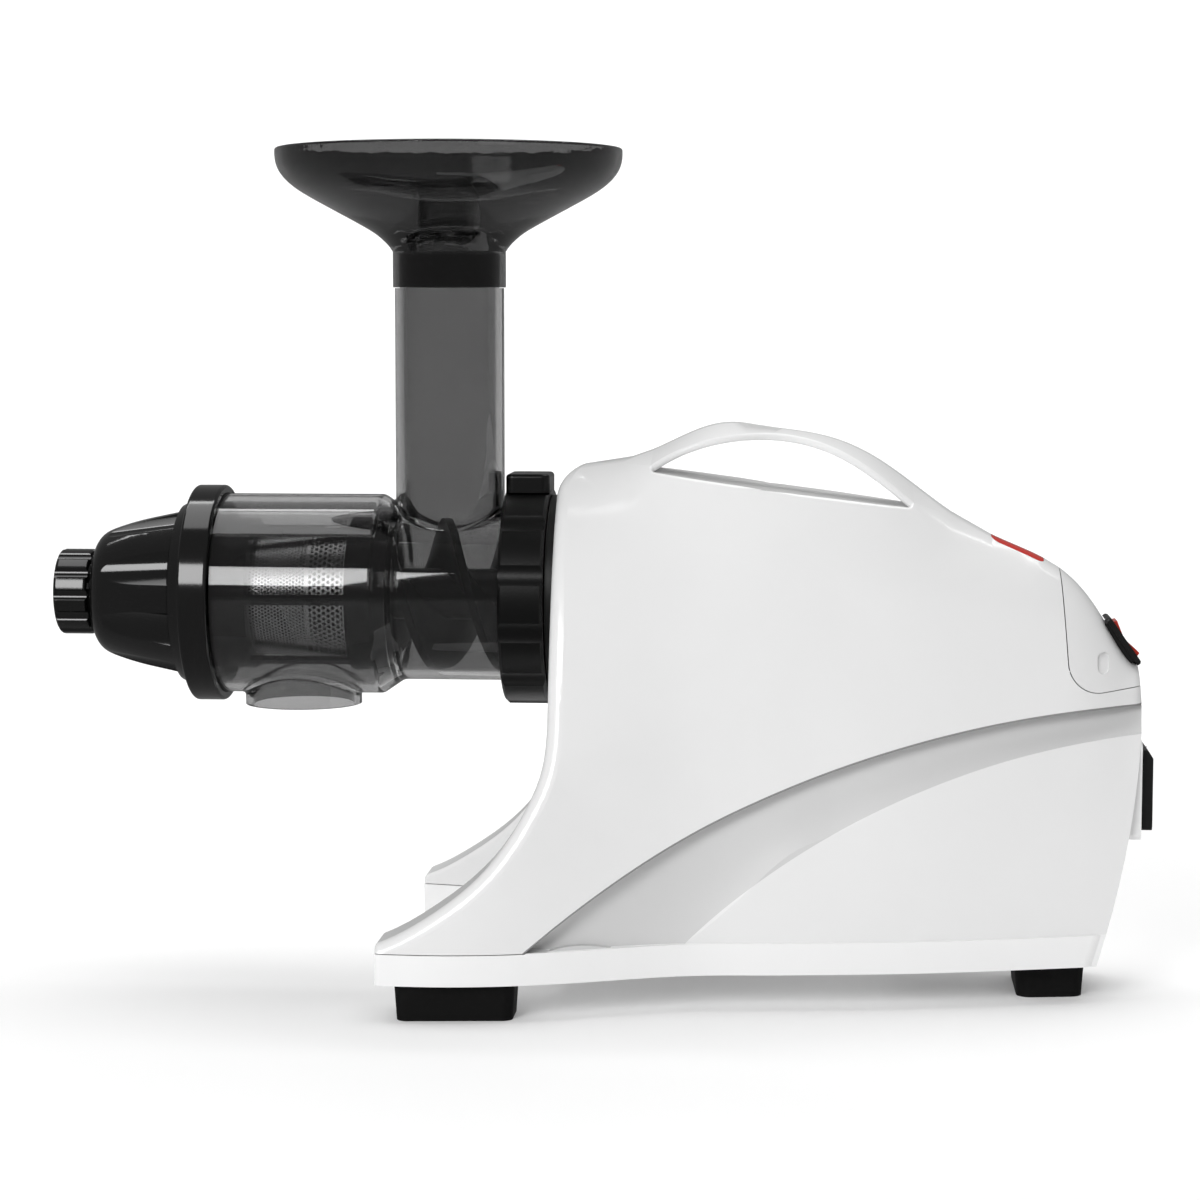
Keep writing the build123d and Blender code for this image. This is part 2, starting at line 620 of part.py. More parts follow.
def port_screws():
    """Four screws that hold the port and the gear case to the housing face."""
    places = ring_places(PORT_FRONT_X, PORT_SCREW_PITCH, 4, 45)
    return [screw(place, TO_REAR, PORT_SCREW_R, PORT_SCREW_L, 3.6, 2.4) for place in places]


def lock_collar():
    """Locking collar: grooved ring with inner bayonet lugs and a top tab."""
    lip_x = COLLAR_FRONT_X + COLLAR_LIP_T
    ring = tube(COLLAR_REAR_X, COLLAR_FRONT_X, COLLAR_R)
    ring = chamfer(ring.edges().filter_by(GeomType.CIRCLE), 1.2)
    groove = tube(COLLAR_REAR_X + 1, COLLAR_FRONT_X - 1, COLLAR_GROOVE_R, height=0)
    groove = Pos(0, 0, AXIS_Z + COLLAR_R + COLLAR_GROOVE_R - COLLAR_GROOVE) * groove
    ring -= around(groove, COLLAR_LOBES, 15)
    tab = Pos((COLLAR_REAR_X + COLLAR_FRONT_X) / 2, 0, AXIS_Z + COLLAR_R + COLLAR_TAB_H / 2 - 2.0)
    tab = tab * Box(COLLAR_TAB_L, COLLAR_TAB_W, COLLAR_TAB_H)
    tab = fillet(tab.edges().filter_by(Axis.Z), 3.0)
    tab = fillet(tab.faces().sort_by(Axis.Z)[-1].edges(), 1.5)
    ring += tab
    ring -= tube(COLLAR_REAR_X + 1, lip_x, COLLAR_BORE)
    ring -= tube(lip_x + 1, COLLAR_FRONT_X - 1, NECK_R + GAP)
    rear = SLEEVE_X + LUG_T + GAP
    lug = wedge(rear, rear + LUG_T, SLEEVE_R + GAP, COLLAR_BORE + 1, 0, LUG_ARC)
    return fuse([ring, *around(lug, LUG_COUNT)])


def juicing_drum():
    """Juicing drum: neck, barrel, feed chute and juice spout in one moulding."""
    body = turned([(DRUM_REAR_X, 0), (DRUM_REAR_X, DRUM_FLANGE_R), (DRUM_FLANGE_X, DRUM_FLANGE_R),
                   (DRUM_FLANGE_X, NECK_R), (SHOULDER_X, NECK_R), (BARREL_X, BARREL_R),
                   (BARREL_END_X, BARREL_R), (BARREL_END_X, 0)])
    shoulder = body.edges().filter_by(lambda e: SHOULDER_X + 0.1 > e.center().X > BARREL_X - 0.1)
    body = fillet(shoulder.filter_by(GeomType.CIRCLE), 4.0)
    chute = upright(Pos(CHUTE_X, 0) * Circle(CHUTE_R), AXIS_Z, CHUTE_TOP_Z)
    spigot = upright(Pos(CHUTE_X, 0) * Circle(SPIGOT_R), CHUTE_TOP_Z, CHUTE_TOP_Z + SPIGOT_H)
    spout = upright(Pos(SPOUT_X, 0) * Circle(SPOUT_R), SPOUT_Z, AXIS_Z)
    body = fuse([body, chute, spout])
    saddle = body.edges().filter_by(GeomType.BSPLINE)
    body = fillet(saddle, SADDLE_ROUND)
    body += spigot
    lug_x = BARREL_END_X + 0.4
    lug = wedge(lug_x, lug_x + CAP_LUG_T, BARREL_R - 1, BARREL_R + CAP_LUG_H, 60, CAP_LUG_ARC)
    body = fuse([body, *around(lug, LUG_COUNT)])
    seat_x = FRAME_REAR_X - FRAME_SEAT_L
    body -= turned([(DRUM_FLANGE_X, 0), (DRUM_FLANGE_X, NECK_BORE), (seat_x, NECK_BORE),
                    (seat_x, NECK_BORE + 2.0), (FRAME_REAR_X, NECK_BORE + 2.0),
                    (FRAME_REAR_X, NECK_BORE + 2.8), (BARREL_X - 1.0, BARREL_BORE),
                    (BARREL_END_X - 1, BARREL_BORE), (BARREL_END_X - 1, 0)])
    body -= upright(Pos(CHUTE_X, 0) * Circle(CHUTE_BORE), AXIS_Z, CHUTE_TOP_Z + SPIGOT_H + 1)
    body -= upright(Pos(SPOUT_X, 0) * Circle(SPOUT_BORE), SPOUT_Z - 1, AXIS_Z)
    return body - tube(DRUM_REAR_X + 1, DRUM_FLANGE_X - 1, SEAL_R)


def drum_seal():
    """Rubber lip seal round the auger shaft, in the back wall of the drum."""
    middle = (DRUM_REAR_X + DRUM_FLANGE_X) / 2
    lip = AUGER_SHAFT_R + GAP
    return turned([(DRUM_REAR_X, lip), (DRUM_REAR_X, SEAL_R), (DRUM_FLANGE_X, SEAL_R),
                   (DRUM_FLANGE_X, lip), (middle, lip + 0.6)])


# ---- screen, auger ---------------------------------------------------------
def juicing_screen():
    """Thin conical sieve of the juicing screen."""
    return turned([(SCREEN_REAR_X, SCREEN_REAR_R), (SCREEN_FRONT_X, SCREEN_FRONT_R),
                   (SCREEN_FRONT_X, SCREEN_FRONT_R - SCREEN_T), (SCREEN_REAR_X, SCREEN_REAR_R - SCREEN_T)])


def screen_frame():
    """Moulded frame that carries the sieve: two end rings joined by bars."""
    lap = 1.5
    rear = turned([(FRAME_REAR_X, FRAME_BORE), (FRAME_REAR_X, FRAME_RING_R),
                   (SCREEN_REAR_X - lap, FRAME_RING_R), (SCREEN_REAR_X - lap, SCREEN_REAR_R + 0.1),
                   (SCREEN_REAR_X, SCREEN_REAR_R + 0.1),
                   (SCREEN_REAR_X, FRAME_BORE - 0.3)])
    front = turned([(SCREEN_FRONT_X + lap, SCREEN_FRONT_R + 0.3), (SCREEN_FRONT_X + lap, FRAME_FRONT_R),
                    (FRAME_FLANGE_X, FRAME_FRONT_R), (FRAME_FLANGE_X, FRAME_FLANGE_R),
                    (BARREL_END_X, FRAME_FLANGE_R), (BARREL_END_X, SCREEN_FRONT_R - SCREEN_T - 1.0),
                    (SCREEN_FRONT_X, SCREEN_FRONT_R - SCREEN_T), (SCREEN_FRONT_X, SCREEN_FRONT_R + 0.3)])
    middle = (SCREEN_REAR_X + SCREEN_FRONT_X) / 2
    bar = Pos(middle, 0, AXIS_Z + FRAME_BAR_R) * Box(SCREEN_REAR_X - SCREEN_FRONT_X, FRAME_BAR_W, FRAME_BAR_T)
    bars = around(bar, FRAME_BARS, 30)
    return fuse([rear, front, *bars])


def flight_section():
    """Cross-section of the flights, wide at the core and narrow at the rim."""
    foot, rim = radians(AUGER_BLADE / 2), radians(AUGER_RIM / 2)
    inner, outer = AUGER_CORE_REAR - 2.0, NECK_BORE + 2.0
    blade = [(inner * cos(foot), -inner * sin(foot)), (outer * cos(rim), -outer * sin(rim)),
             (outer * cos(rim), outer * sin(rim)), (inner * cos(foot), inner * sin(foot))]
    face = make_face(Polyline(blade, close=True))
    blades = [Rot(0, 0, 360 * i / AUGER_STARTS) * face for i in range(AUGER_STARTS)]
    return fuse([Circle(AUGER_CORE_REAR - 1.0), *blades])


def auger():
    """Crushing auger: tapered core, helical flights, nose cone and hexagon."""
    length = AUGER_REAR_X - AUGER_FLIGHT_END
    turn = 360 * length / AUGER_LEAD
    flights = Solid.extrude_linear_with_rotation(flight_section().face(), (0, 0, 0), (0, 0, length), turn)
    flights = Pos(AUGER_REAR_X, 0, AXIS_Z) * TO_FRONT * flights
    step_x = FRAME_REAR_X + 0.7
    rear = turned([(AUGER_REAR_X, 0), (AUGER_REAR_X, NECK_BORE - AUGER_GAP), (step_x, NECK_BORE - AUGER_GAP),
                   (step_x, 0)])
    front = turned([(step_x, 0), (step_x, FRAME_BORE - AUGER_GAP - 0.1), (AUGER_TAPER_X, AUGER_TAPER_R),
                    (AUGER_TAPER_X, 0)])
    core = turned([(AUGER_REAR_X, 0), (AUGER_REAR_X, AUGER_CORE_REAR + 3),
                   (AUGER_REAR_X - 3, AUGER_CORE_REAR), (SCREEN_REAR_X, AUGER_CORE_REAR + 3.5),
                   (AUGER_FLIGHT_END + 4, AUGER_CORE_FRONT),
                   (AUGER_FLIGHT_END - 5, AUGER_CORE_FRONT - 1.5), (AUGER_TIP_X + 9, 13.0),
                   (AUGER_TIP_X + 1, 7.0), (AUGER_TIP_X, 5.0), (AUGER_TIP_X, 0)])
    shaft = tube(AUGER_REAR_X - 1, DRIVE_HEAD_X - GAP, AUGER_SHAFT_R)
    across = DRIVE_HEX - 2 * HEX_GAP
    hexagon = RegularPolygon(across / 2, 6, major_radius=False)
    stub = extrude(Plane.YZ.offset(AUGER_REAR_X) * hexagon, AUGER_HEX_L)
    return fuse([flights & rear, flights & front, core, shaft, Pos(0, 0, AXIS_Z) * stub])


# ---- end cap, knob, hopper -------------------------------------------------
def end_cap():
    """End cap: twist ring, fluted nose and the bore of the adjusting knob."""
    outline = Spline(CAP_PROFILE)
    outline += Polyline(CAP_PROFILE[-1], *CAP_LEDGE, (CAP_RING_FRONT_X, CAP_RING_R), (CAP_BACK_X, CAP_RING_R),
                        (CAP_BACK_X, 0), (CAP_NOSE_X, 0), CAP_PROFILE[0])
    body = Pos(0, 0, AXIS_Z) * revolve(Plane.XZ * make_face(outline), Axis.X)
    edges = body.edges().filter_by(GeomType.CIRCLE).filter_by(lambda e: abs(e.radius - CAP_RING_R) < 0.01)
    body = fillet(edges, 1.2)
    front = BARREL_END_X - GAP
    lock_x = BARREL_END_X + 0.4 + CAP_LUG_T + GAP
    body -= turned([(CAP_BACK_X + 1, 0), (CAP_BACK_X + 1, CAP_RING_BORE), (lock_x, CAP_RING_BORE),
                    (lock_x, CAP_GROOVE_R), (front, CAP_GROOVE_R), (front, CAP_MOUTH_R),
                    (CAP_THROAT_X + 13, CAP_MOUTH_R - 5.0), (CAP_THROAT_X, KNOB_STEM_R + GAP),
                    (CAP_NOSE_X - 1, KNOB_STEM_R + GAP), (CAP_NOSE_X - 1, 0)])
    notch = wedge(lock_x - 1, CAP_BACK_X + 1, CAP_RING_BORE - 1, CAP_GROOVE_R - 0.1,
                  60 + CAP_TURN, CAP_LUG_ARC + 4)
    body -= around(notch, LUG_COUNT)
    broad_x = CAP_PROFILE[-1][0]
    slope = degrees(atan2(FLUTE_RISE, broad_x - FLUTE_START_X))
    flute = Pos(broad_x, 0, 0) * Rot(0, -slope, 0) * Pos(-30, 0, 0) * Rot(0, 90, 0) * Cylinder(FLUTE_R, 60)
    flute = Pos(0, 0, AXIS_Z + CAP_PROFILE[-1][1] + FLUTE_R - FLUTE_DEPTH) * flute
    flute -= Pos(broad_x + 50, 0, AXIS_Z) * Box(100, 200, 200)
    return body - around(flute, FLUTES, 22.5)


def adjusting_knob():
    """Adjusting knob: lobed wheel with a hollow stem that pulp runs through."""
    wheel = tube(KNOB_X, KNOB_REAR_X, KNOB_R)
    wheel = fillet(wheel.edges().filter_by(GeomType.CIRCLE), 1.5)
    groove = Pos(0, 0, AXIS_Z + KNOB_R + 1.6) * tube(KNOB_X - 1, KNOB_REAR_X + 1, 2.8, height=0)
    wheel -= around(groove, KNOB_LOBES)
    stem = tube(KNOB_REAR_X - 1, KNOB_STEM_X, KNOB_STEM_R)
    return wheel + stem - tube(KNOB_X - 1, KNOB_STEM_X + 1, KNOB_BORE)


def hopper():
    """Feed hopper: wide dish on a sleeve that drops over the chute's spigot."""
    floor_z = CHUTE_TOP_Z + SPIGOT_H + GAP
    sleeve = SPIGOT_R + GAP
    base_z = CHUTE_TOP_Z + GAP
    outer = Spline([(r, z) for z, r in HOPPER_PROFILE])
    inner = Spline([(r, z) for z, r in HOPPER_INSIDE])
    outline = Polyline((sleeve, base_z), (HOPPER_NECK_R, base_z), outer @ 0) + outer
    outline += Line(outer @ 1, inner @ 1) + inner
    outline += Polyline(inner @ 0, (CHUTE_BORE, floor_z), (sleeve, floor_z), (sleeve, base_z))
    body = revolve(Plane.XZ * make_face(outline), Axis.Z)
    rim = body.edges().filter_by(GeomType.CIRCLE).sort_by(Axis.Z)[-2:]
    return Pos(CHUTE_X, 0, 0) * fillet(rim, 0.9)


# ---- housings --------------------------------------------------------------
def lower_walls():
    """Sides of the lower housing, scooped under the parting line."""
    walls = (housing_form(LIP_STEP, False, FOOT_H) & silhouette()) - leg_bay() - above_seam(-SEAM_GAP)
    cove = cove_cutter()
    return walls - cove - mirrored(cove)


def rear_post(low, high):
    """Pair of screw posts at the rear."""
    post = Pos(POST_X, 0, low) * extrude(Circle(POST_R), high - low)
    return Pos(0, POST_Y, 0) * post, Pos(0, -POST_Y, 0) * post


def bolt_holes(places, radius, low, high):
    """Upright holes at places given in X and Y."""
    return [Pos(x, y, low) * extrude(Circle(radius), high - low) for x, y in places]


def both_sides(x, y):
    """A place and its mirror image."""
    return [(x, y), (x, -y)]


def foot_screw_places():
    """Places of the screws that hold the four feet."""
    rear_x = REAR_FOOT_X + REAR_FOOT_L / 2 - 4
    return both_sides(FOOT_SCREW_X, FOOT_SCREW_Y) + both_sides(rear_x, REAR_SCREW_Y)


def lower_housing(outside, narrow):
    """Lower housing: base lip, scooped sides, floor, inlet boss and posts."""
    lip = outside - Pos(0, 0, LIP_Z + 150) * Box(800, 800, 300)
    body = (lip + lower_walls()) - above_seam(-SEAM_GAP) - narrow
    boss = Pos((BOSS_X + BOSS_ROOT_X) / 2, 0, INLET_Z) * Box(BOSS_X - BOSS_ROOT_X, BOSS_W, BOSS_H)
    boss = fillet(boss.edges().filter_by(Axis.X), 3.0)
    saddle_plan = RectangleRounded(SADDLE_L, SADDLE_W, 3)
    saddle = Pos(SADDLE_X, 0, FOOT_H) * upright(saddle_plan, 0, MOTOR_Z - 20 - FOOT_H)
    saddle -= tube(SADDLE_X - SADDLE_L, SADDLE_X + SADDLE_L, MOTOR_R + 0.1, height=MOTOR_Z)
    seam_z = arc_height(POST_X - POST_R, SEAM_ARC) - SEAM_GAP
    body = fuse([body, boss, saddle, *rear_post(FOOT_H, seam_z)])
    socket = Pos(BOSS_X - INLET_DEPTH / 2, 0, INLET_Z)
    body -= socket * Box(INLET_DEPTH + 2, INLET_BODY_W + 0.4, INLET_BODY_H + 0.4)
    pilot = Rot(0, 90, 0) * Cylinder(1.25, 24)
    body -= [Pos(BOSS_X - 8, 0, INLET_Z + side * INLET_SCREW_Z) * pilot for side in (-1, 1)]
    body -= bolt_holes(both_sides(POST_X, POST_Y), SCREW_HEAD_R + 0.3, FOOT_H - 1, POST_SEAT_Z)
    body -= bolt_holes(both_sides(POST_X, POST_Y), SCREW_R + 0.2, POST_SEAT_Z - 1, 130)
    body -= bolt_holes(both_sides(LEG_SCREW_X, LEG_SCREW_Y), SCREW_HEAD_R + 0.3, FOOT_H - 1, FOOT_H + 6)
    body -= bolt_holes(both_sides(LEG_SCREW_X, LEG_SCREW_Y), SCREW_R + 0.2, FOOT_H + 5, LIP_Z + 1)
    feet = foot_screw_places()
    body -= bolt_holes(feet, FOOT_SCREW_R + SHAFT_FIT, FOOT_H - 1, FOOT_H + FOOT_SCREW_GRIP + 0.4)
    slot = upright(SlotOverall(VENT_L, VENT_W, rotation=90), FOOT_H - 1, FOOT_H + FLOOR_T + 1)
    return body - [Pos(VENT_X + VENT_PITCH * i, 0, 0) * slot for i in range(VENT_COUNT)]


def upper_shell(outside, wide, narrow):
    """Upper housing before its rear cover and lens are parted from it."""
    body = (outside & above_seam(0)) - (wide & above_seam(FLANGE_H)) - (narrow & above_seam(0))
    seam_z = arc_height(POST_X - POST_R, SEAM_ARC)
    low = Pos(POST_X, 0, seam_z) * extrude(Circle(POST_R), POST_BOSS_H)
    posts = [(Pos(0, side * POST_Y, 0) * low) & above_seam(0) for side in (-1, 1)]
    body = fuse([body, *posts])
    body -= bolt_holes(both_sides(POST_X, POST_Y), SCREW_R + SHAFT_FIT, seam_z - 2, seam_z + POST_BOSS_H - 2)
    legs = both_sides(LEG_SCREW_X, LEG_SCREW_Y)
    body -= bolt_holes(legs, SCREW_R + SHAFT_FIT, LIP_Z - 2, LIP_Z + LEG_SCREW_GRIP)
    body -= tube(FACE_X - 1, FACE_X + WALL + 1, NOSE_R + 0.5)
    hole = tube(FACE_X - 1, FACE_X + WALL + 1, PORT_SCREW_R + 0.2, height=0)
    return body - [Pos(0, y, z) * hole for _, y, z in ring_places(0, PORT_SCREW_PITCH, 4, 45)]


def switch_place():
    """Plane of the inclined switch pad, X down the pad, Z outwards."""
    middle = ((PAD_TOP[0] + PAD_LOW[0]) / 2, 0, (PAD_TOP[1] + PAD_LOW[1]) / 2)
    down = (PAD_LOW[0] - PAD_TOP[0], 0, PAD_LOW[1] - PAD_TOP[1])
    return Plane(origin=middle, x_dir=down, z_dir=(-down[2], 0, down[0]))


def on_pad(shape):
    """Move a shape drawn at the origin on to the switch pad."""
    return switch_place().location * shape


def rear_cover(shell):
    """Rear cover with the pad that the power switch is clipped into."""
    cover = shell & cover_region(0)
    cover -= on_pad(Box(SWITCH_L - 4 + 2 * FIT, SWITCH_W - 4 + 2 * FIT, 40))
    slot = extrude(SlotOverall(8.0, 4.6, rotation=90), 30, both=True)
    dimple = Pos(DIMPLE_X, -40, DIMPLE_Z) * Rot(90, 0, 0) * slot
    skin = housing_form(DIMPLE_DEPTH, True, FOOT_H)
    return cover - (dimple - skin)


def indicator_lens(shell):
    """Red lens let into the crown."""
    return shell & lens_region(0, 120, 200)


def upper_housing(shell):
    """Upper housing: crown, handle, front face and the two legs."""
    return shell - cover_region(COVER_LINE) - lens_region(LENS_GAP, 120, 200)


# ---- feet and screws -------------------------------------------------------
def foot(plan, holes):
    """Rubber foot under the base, tapered downwards, with screw sockets."""
    body = Pos(0, 0, FOOT_H) * mirror(extrude(plan, FOOT_H, taper=FOOT_TAPER), Plane.XY)
    body -= bolt_holes(holes, FOOT_SCREW_HEAD_R + 0.4, -1, FOOT_SCREW_SEAT)
    return body - bolt_holes(holes, FOOT_SCREW_R + 0.2, FOOT_SCREW_SEAT - 1, FOOT_H + 1)


def front_foot():
    """Foot under the near leg."""
    plan = make_face(Polyline(FOOT_PLAN, close=True))
    plan = fillet(plan.vertices(), 5.0)
    return foot(plan, [(FOOT_SCREW_X, -FOOT_SCREW_Y)])


def rear_foot():
    """Single wide foot under the rear end."""
    front, rear, half = REAR_FOOT_X, REAR_FOOT_X + REAR_FOOT_L, REAR_FOOT_W / 2
    plan = make_face(Polyline((front, -half), (rear, 4 - half), (rear, half - 4), (front, half), close=True))
    plan = fillet(plan.vertices(), 6.0)
    return foot(plan, both_sides(front + REAR_FOOT_L / 2 - 4, REAR_SCREW_Y))


def foot_screws():
    """Four screws that hold the feet."""
    places = foot_screw_places()
    length = FOOT_H - FOOT_SCREW_SEAT + FOOT_SCREW_GRIP
    return [screw((x, y, FOOT_SCREW_SEAT), TO_TOP, FOOT_SCREW_R, length, FOOT_SCREW_HEAD_R, 2.2)
            for x, y in places]


def housing_screws():
    """Four screws that close the two housing mouldings."""
    legs = [(x, y, FOOT_H + 6) for x, y in both_sides(LEG_SCREW_X, LEG_SCREW_Y)]
    posts = [(x, y, POST_SEAT_Z) for x, y in both_sides(POST_X, POST_Y)]
    end_z = LIP_Z + LEG_SCREW_GRIP - 1
    screws = [screw(place, TO_TOP, SCREW_R, end_z - place[2], SCREW_HEAD_R, 2.6) for place in legs]
    return screws + [screw(place, TO_TOP, SCREW_R, POST_SCREW_L, SCREW_HEAD_R, 2.6) for place in posts]


# ---- switch and inlet ------------------------------------------------------
def switch_frame():
    """Body and bezel of the power switch."""
    bezel = extrude(RectangleRounded(SWITCH_L, SWITCH_W, 1.5), SWITCH_T)
    bezel = chamfer(bezel.faces().sort_by(Axis.Z)[-1].edges(), 0.7)
    body = Pos(0, 0, -SWITCH_DEPTH / 2) * Box(SWITCH_L - 4, SWITCH_W - 4, SWITCH_DEPTH)
    well = Box(ROCKER_L + 2 * GAP, ROCKER_W + 2 * GAP, SWITCH_T + ROCKER_WELL)
    well = Pos(0, 0, (SWITCH_T - ROCKER_WELL) / 2) * well
    pivot = Rot(90, 0, 0) * Cylinder(ROCKER_PIN_R + SHAFT_FIT, SWITCH_W - 4 - 0.8)
    blades = [Pos(x, 0, -SWITCH_DEPTH - 3) * Box(0.8, 6.3, 6.4) for x in (-5.5, 5.5)]
    return on_pad(fuse([bezel, body, *blades]) - well - pivot)


def switch_rocker():
    """Rocker of the power switch with its pivot pin."""
    side = Polyline((-12, ROCKER_RISE + 1.2), (0, ROCKER_WAIST), (12, ROCKER_RISE + 1.2),
                    (12, -5), (-12, -5), close=True)
    face = make_face(side) & Circle(ROCKER_L / 2)
    body = extrude(Plane.XZ * face, ROCKER_W / 2, both=True)
    pin = Rot(90, 0, 0) * Cylinder(ROCKER_PIN_R, SWITCH_W - 4 - 1.2)
    return on_pad(body + pin)


def inlet_socket():
    """Mains inlet with its flange and recess."""
    top = INLET_T * 0.55
    side = Polyline((0, -INLET_H / 2), (INLET_T, -INLET_H / 2), (INLET_T, INLET_H / 2 - 4),
                    (INLET_T - top, INLET_H / 2), (0, INLET_H / 2), close=True)
    flange = extrude(Plane.XZ * make_face(side), INLET_W / 2, both=True)
    flange = fillet(flange.edges().filter_by(Axis.X), 2.5)
    body = Pos(-INLET_DEPTH / 2, 0, 0) * Box(INLET_DEPTH, INLET_BODY_W, INLET_BODY_H)
    mouth = make_face(Polyline((-8.2, -7), (8.2, -7), (8.2, 3), (4.5, 7), (-4.5, 7), (-8.2, 3), close=True))
    recess = Pos(INLET_T + 1, 0, 0) * extrude(Plane.YZ * mouth, -(INLET_T + 1 + INLET_RECESS))
    body = flange + body - recess - inlet_pins_local()
    body -= [Pos(INLET_T, 0, side * INLET_SCREW_Z) * Rot(0, 90, 0) * Cylinder(INLET_HEAD_R + 0.2, 4.8)
             for side in (-1, 1)]
    body -= [Pos(0, 0, side * INLET_SCREW_Z) * Rot(0, 90, 0) * Cylinder(1.4, 20) for side in (-1, 1)]
    return Pos(BOSS_X, 0, INLET_Z) * body


def inlet_pins_local():
    """Three contact pins, from the tabs at the back to the recess."""
    places = [(-5.0, -1.2), (5.0, -1.2), (0.0, 2.6)]
    low, high = -INLET_DEPTH - 6.0, -INLET_RECESS + 11.0
    pin = Pos((low + high) / 2, 0, 0) * Box(high - low, 1.6, 3.6)
    return [Pos(0, y, z) * pin for y, z in places]


def inlet_pins():
    """The contact pins in their place in the machine."""
    return [Pos(BOSS_X, 0, INLET_Z) * pin for pin in inlet_pins_local()]


def inlet_screws():
    """Two screws that hold the inlet."""
    places = [(BOSS_X + INLET_T - 2.4, 0, INLET_Z + side * INLET_SCREW_Z) for side in (-1, 1)]
    return [screw(place, TO_FRONT, 1.2, 14.0, INLET_HEAD_R, 1.4) for place in places]


# ---- drive -----------------------------------------------------------------
def case_outline(rings):
    """Face in Y and Z that wraps circles given as (height, radius)."""
    edges = [Pos(0, height, 0) * edge for height, radius in rings for edge in Circle(radius).edges()]
    return make_hull(edges)


def case_block(x_a, x_b, rings):
    """Prism along the axis from a wrapped outline."""
    return extrude(Plane.YZ.offset(min(x_a, x_b)) * case_outline(rings), abs(x_b - x_a))


def grown(rings, spread):
    """The same circles with another radius."""
    return [(height, radius + spread) for height, radius in rings]


def case_bolt_places(x):
    """Places of the bolts that join the two halves of the gear case."""
    return [(x, side * y, z) for y, z in CASE_BOLTS for side in (-1, 1)]


def gearbox_case():
    """Front half of the gear case, with the nose that carries the output."""
    case = fuse([case_block(CASE_FRONT_X, CASE_SPLIT_X, grown(FRONT_ROOM, CASE_WALL)),
                 case_block(CASE_SPLIT_X - CASE_WALL, CASE_SPLIT_X, grown(REAR_ROOM, CASE_WALL)),
                 tube(FACE_X, CASE_FRONT_X + 1, NOSE_R)])
    case += [Pos(CASE_SPLIT_X - EAR_L / 2, y, z) * Rot(0, 90, 0) * Cylinder(EAR_R, EAR_L)
             for _, y, z in case_bolt_places(0)]
    case -= case_block(CASE_FRONT_X + CASE_WALL, CASE_SPLIT_X + 1, FRONT_ROOM)
    case += tube(CASE_FRONT_X + 1, OUT_BEARING_X + OUT_BEARING_L, NOSE_R + 1.5)
    case += tube(CASE_FRONT_X + 1, LAY_FRONT_X + LAY_BEARING_L, LAY_BEARING_R + 2.5, height=LAY_Z)
    pad = Rot(0, 90, 0) * Cylinder(4.2, 5.0)
    case += [Pos(-5.5, y, z) * pad for _, y, z in ring_places(0, PORT_SCREW_PITCH, 4, 45)]
    case -= tube(OUT_BEARING_X, OUT_BEARING_X + OUT_BEARING_L + 1, OUT_BEARING_R)
    case -= tube(FACE_X - 1, OUT_BEARING_X + 1, OUT_BEARING_R - 2.5)
    case -= tube(LAY_FRONT_X, LAY_FRONT_X + LAY_BEARING_L + 1, LAY_BEARING_R, height=LAY_Z)
    hole = tube(CASE_FRONT_X - 1, PORT_FRONT_X + PORT_SCREW_L + 0.5, PORT_SCREW_R + SHAFT_FIT, height=0)
    case -= [Pos(0, y, z) * hole for _, y, z in ring_places(0, PORT_SCREW_PITCH, 4, 45)]
    bolt = Rot(0, 90, 0) * Cylinder(CASE_BOLT_R + SHAFT_FIT, 24)
    return case - [Pos(*place) * bolt for place in case_bolt_places(CASE_SPLIT_X)]


def gearbox_plate():
    """Rear half of the gear case, with bearing seats and the motor's face."""
    both = grown(FRONT_ROOM, CASE_WALL)
    plate = fuse([case_block(CASE_SPLIT_X, CASE_SPLIT_X + CASE_WALL, both),
                  case_block(CASE_SPLIT_X, PLATE_X + PLATE_T, grown(REAR_ROOM, CASE_WALL))])
    ear = Rot(0, 90, 0) * Cylinder(EAR_R, 6.0)
    plate += [Pos(CASE_SPLIT_X + 3, y, z) * ear for _, y, z in case_bolt_places(0)]
    plate -= case_block(CASE_SPLIT_X - 1, PLATE_X, REAR_ROOM)
    plate += tube(PLATE_X, MOTOR_FRONT_X, MOTOR_PAD_R, height=MOTOR_Z)
    plate += tube(OUT_REAR_X, OUT_REAR_X + OUT_REAR_L, OUT_REAR_R + 3)
    plate += tube(LAY_REAR_X, LAY_REAR_X + LAY_BEARING_L, LAY_BEARING_R + 2.5, height=LAY_Z)
    plate -= tube(OUT_REAR_X - 1, OUT_REAR_X + OUT_REAR_L + 1, OUT_REAR_R)
    plate -= tube(LAY_REAR_X - 1, LAY_REAR_X + LAY_BEARING_L + 1, LAY_BEARING_R, height=LAY_Z)
    plate -= tube(PLATE_X - 1, MOTOR_FRONT_X + 1, MOTOR_PINION_HOLE, height=MOTOR_Z)
    hole = Rot(0, 90, 0) * Cylinder(CASE_BOLT_R + 0.2, 30)
    holes = [Pos(*place) * hole for place in case_bolt_places(CASE_SPLIT_X)]
    bore = Rot(0, 90, 0) * Cylinder(MOTOR_BOLT_R + SHAFT_FIT, 18)
    bores = [Pos(*place) * bore for place in motor_bolt_places()]
    seats = [Pos(x + 10, y, z) * Rot(0, 90, 0) * Cylinder(CASE_BOLT_R * 1.8 + 0.3, 8) for x, y, z in
             case_bolt_places(CASE_SPLIT_X)]
    return plate - holes - bores - seats


def motor_bolt_places():
    """Places of the bolts between the gear case and the motor."""
    return ring_places(MOTOR_FRONT_X + SHIELD_T, MOTOR_BOLT_PITCH, 4, 45, MOTOR_Z)


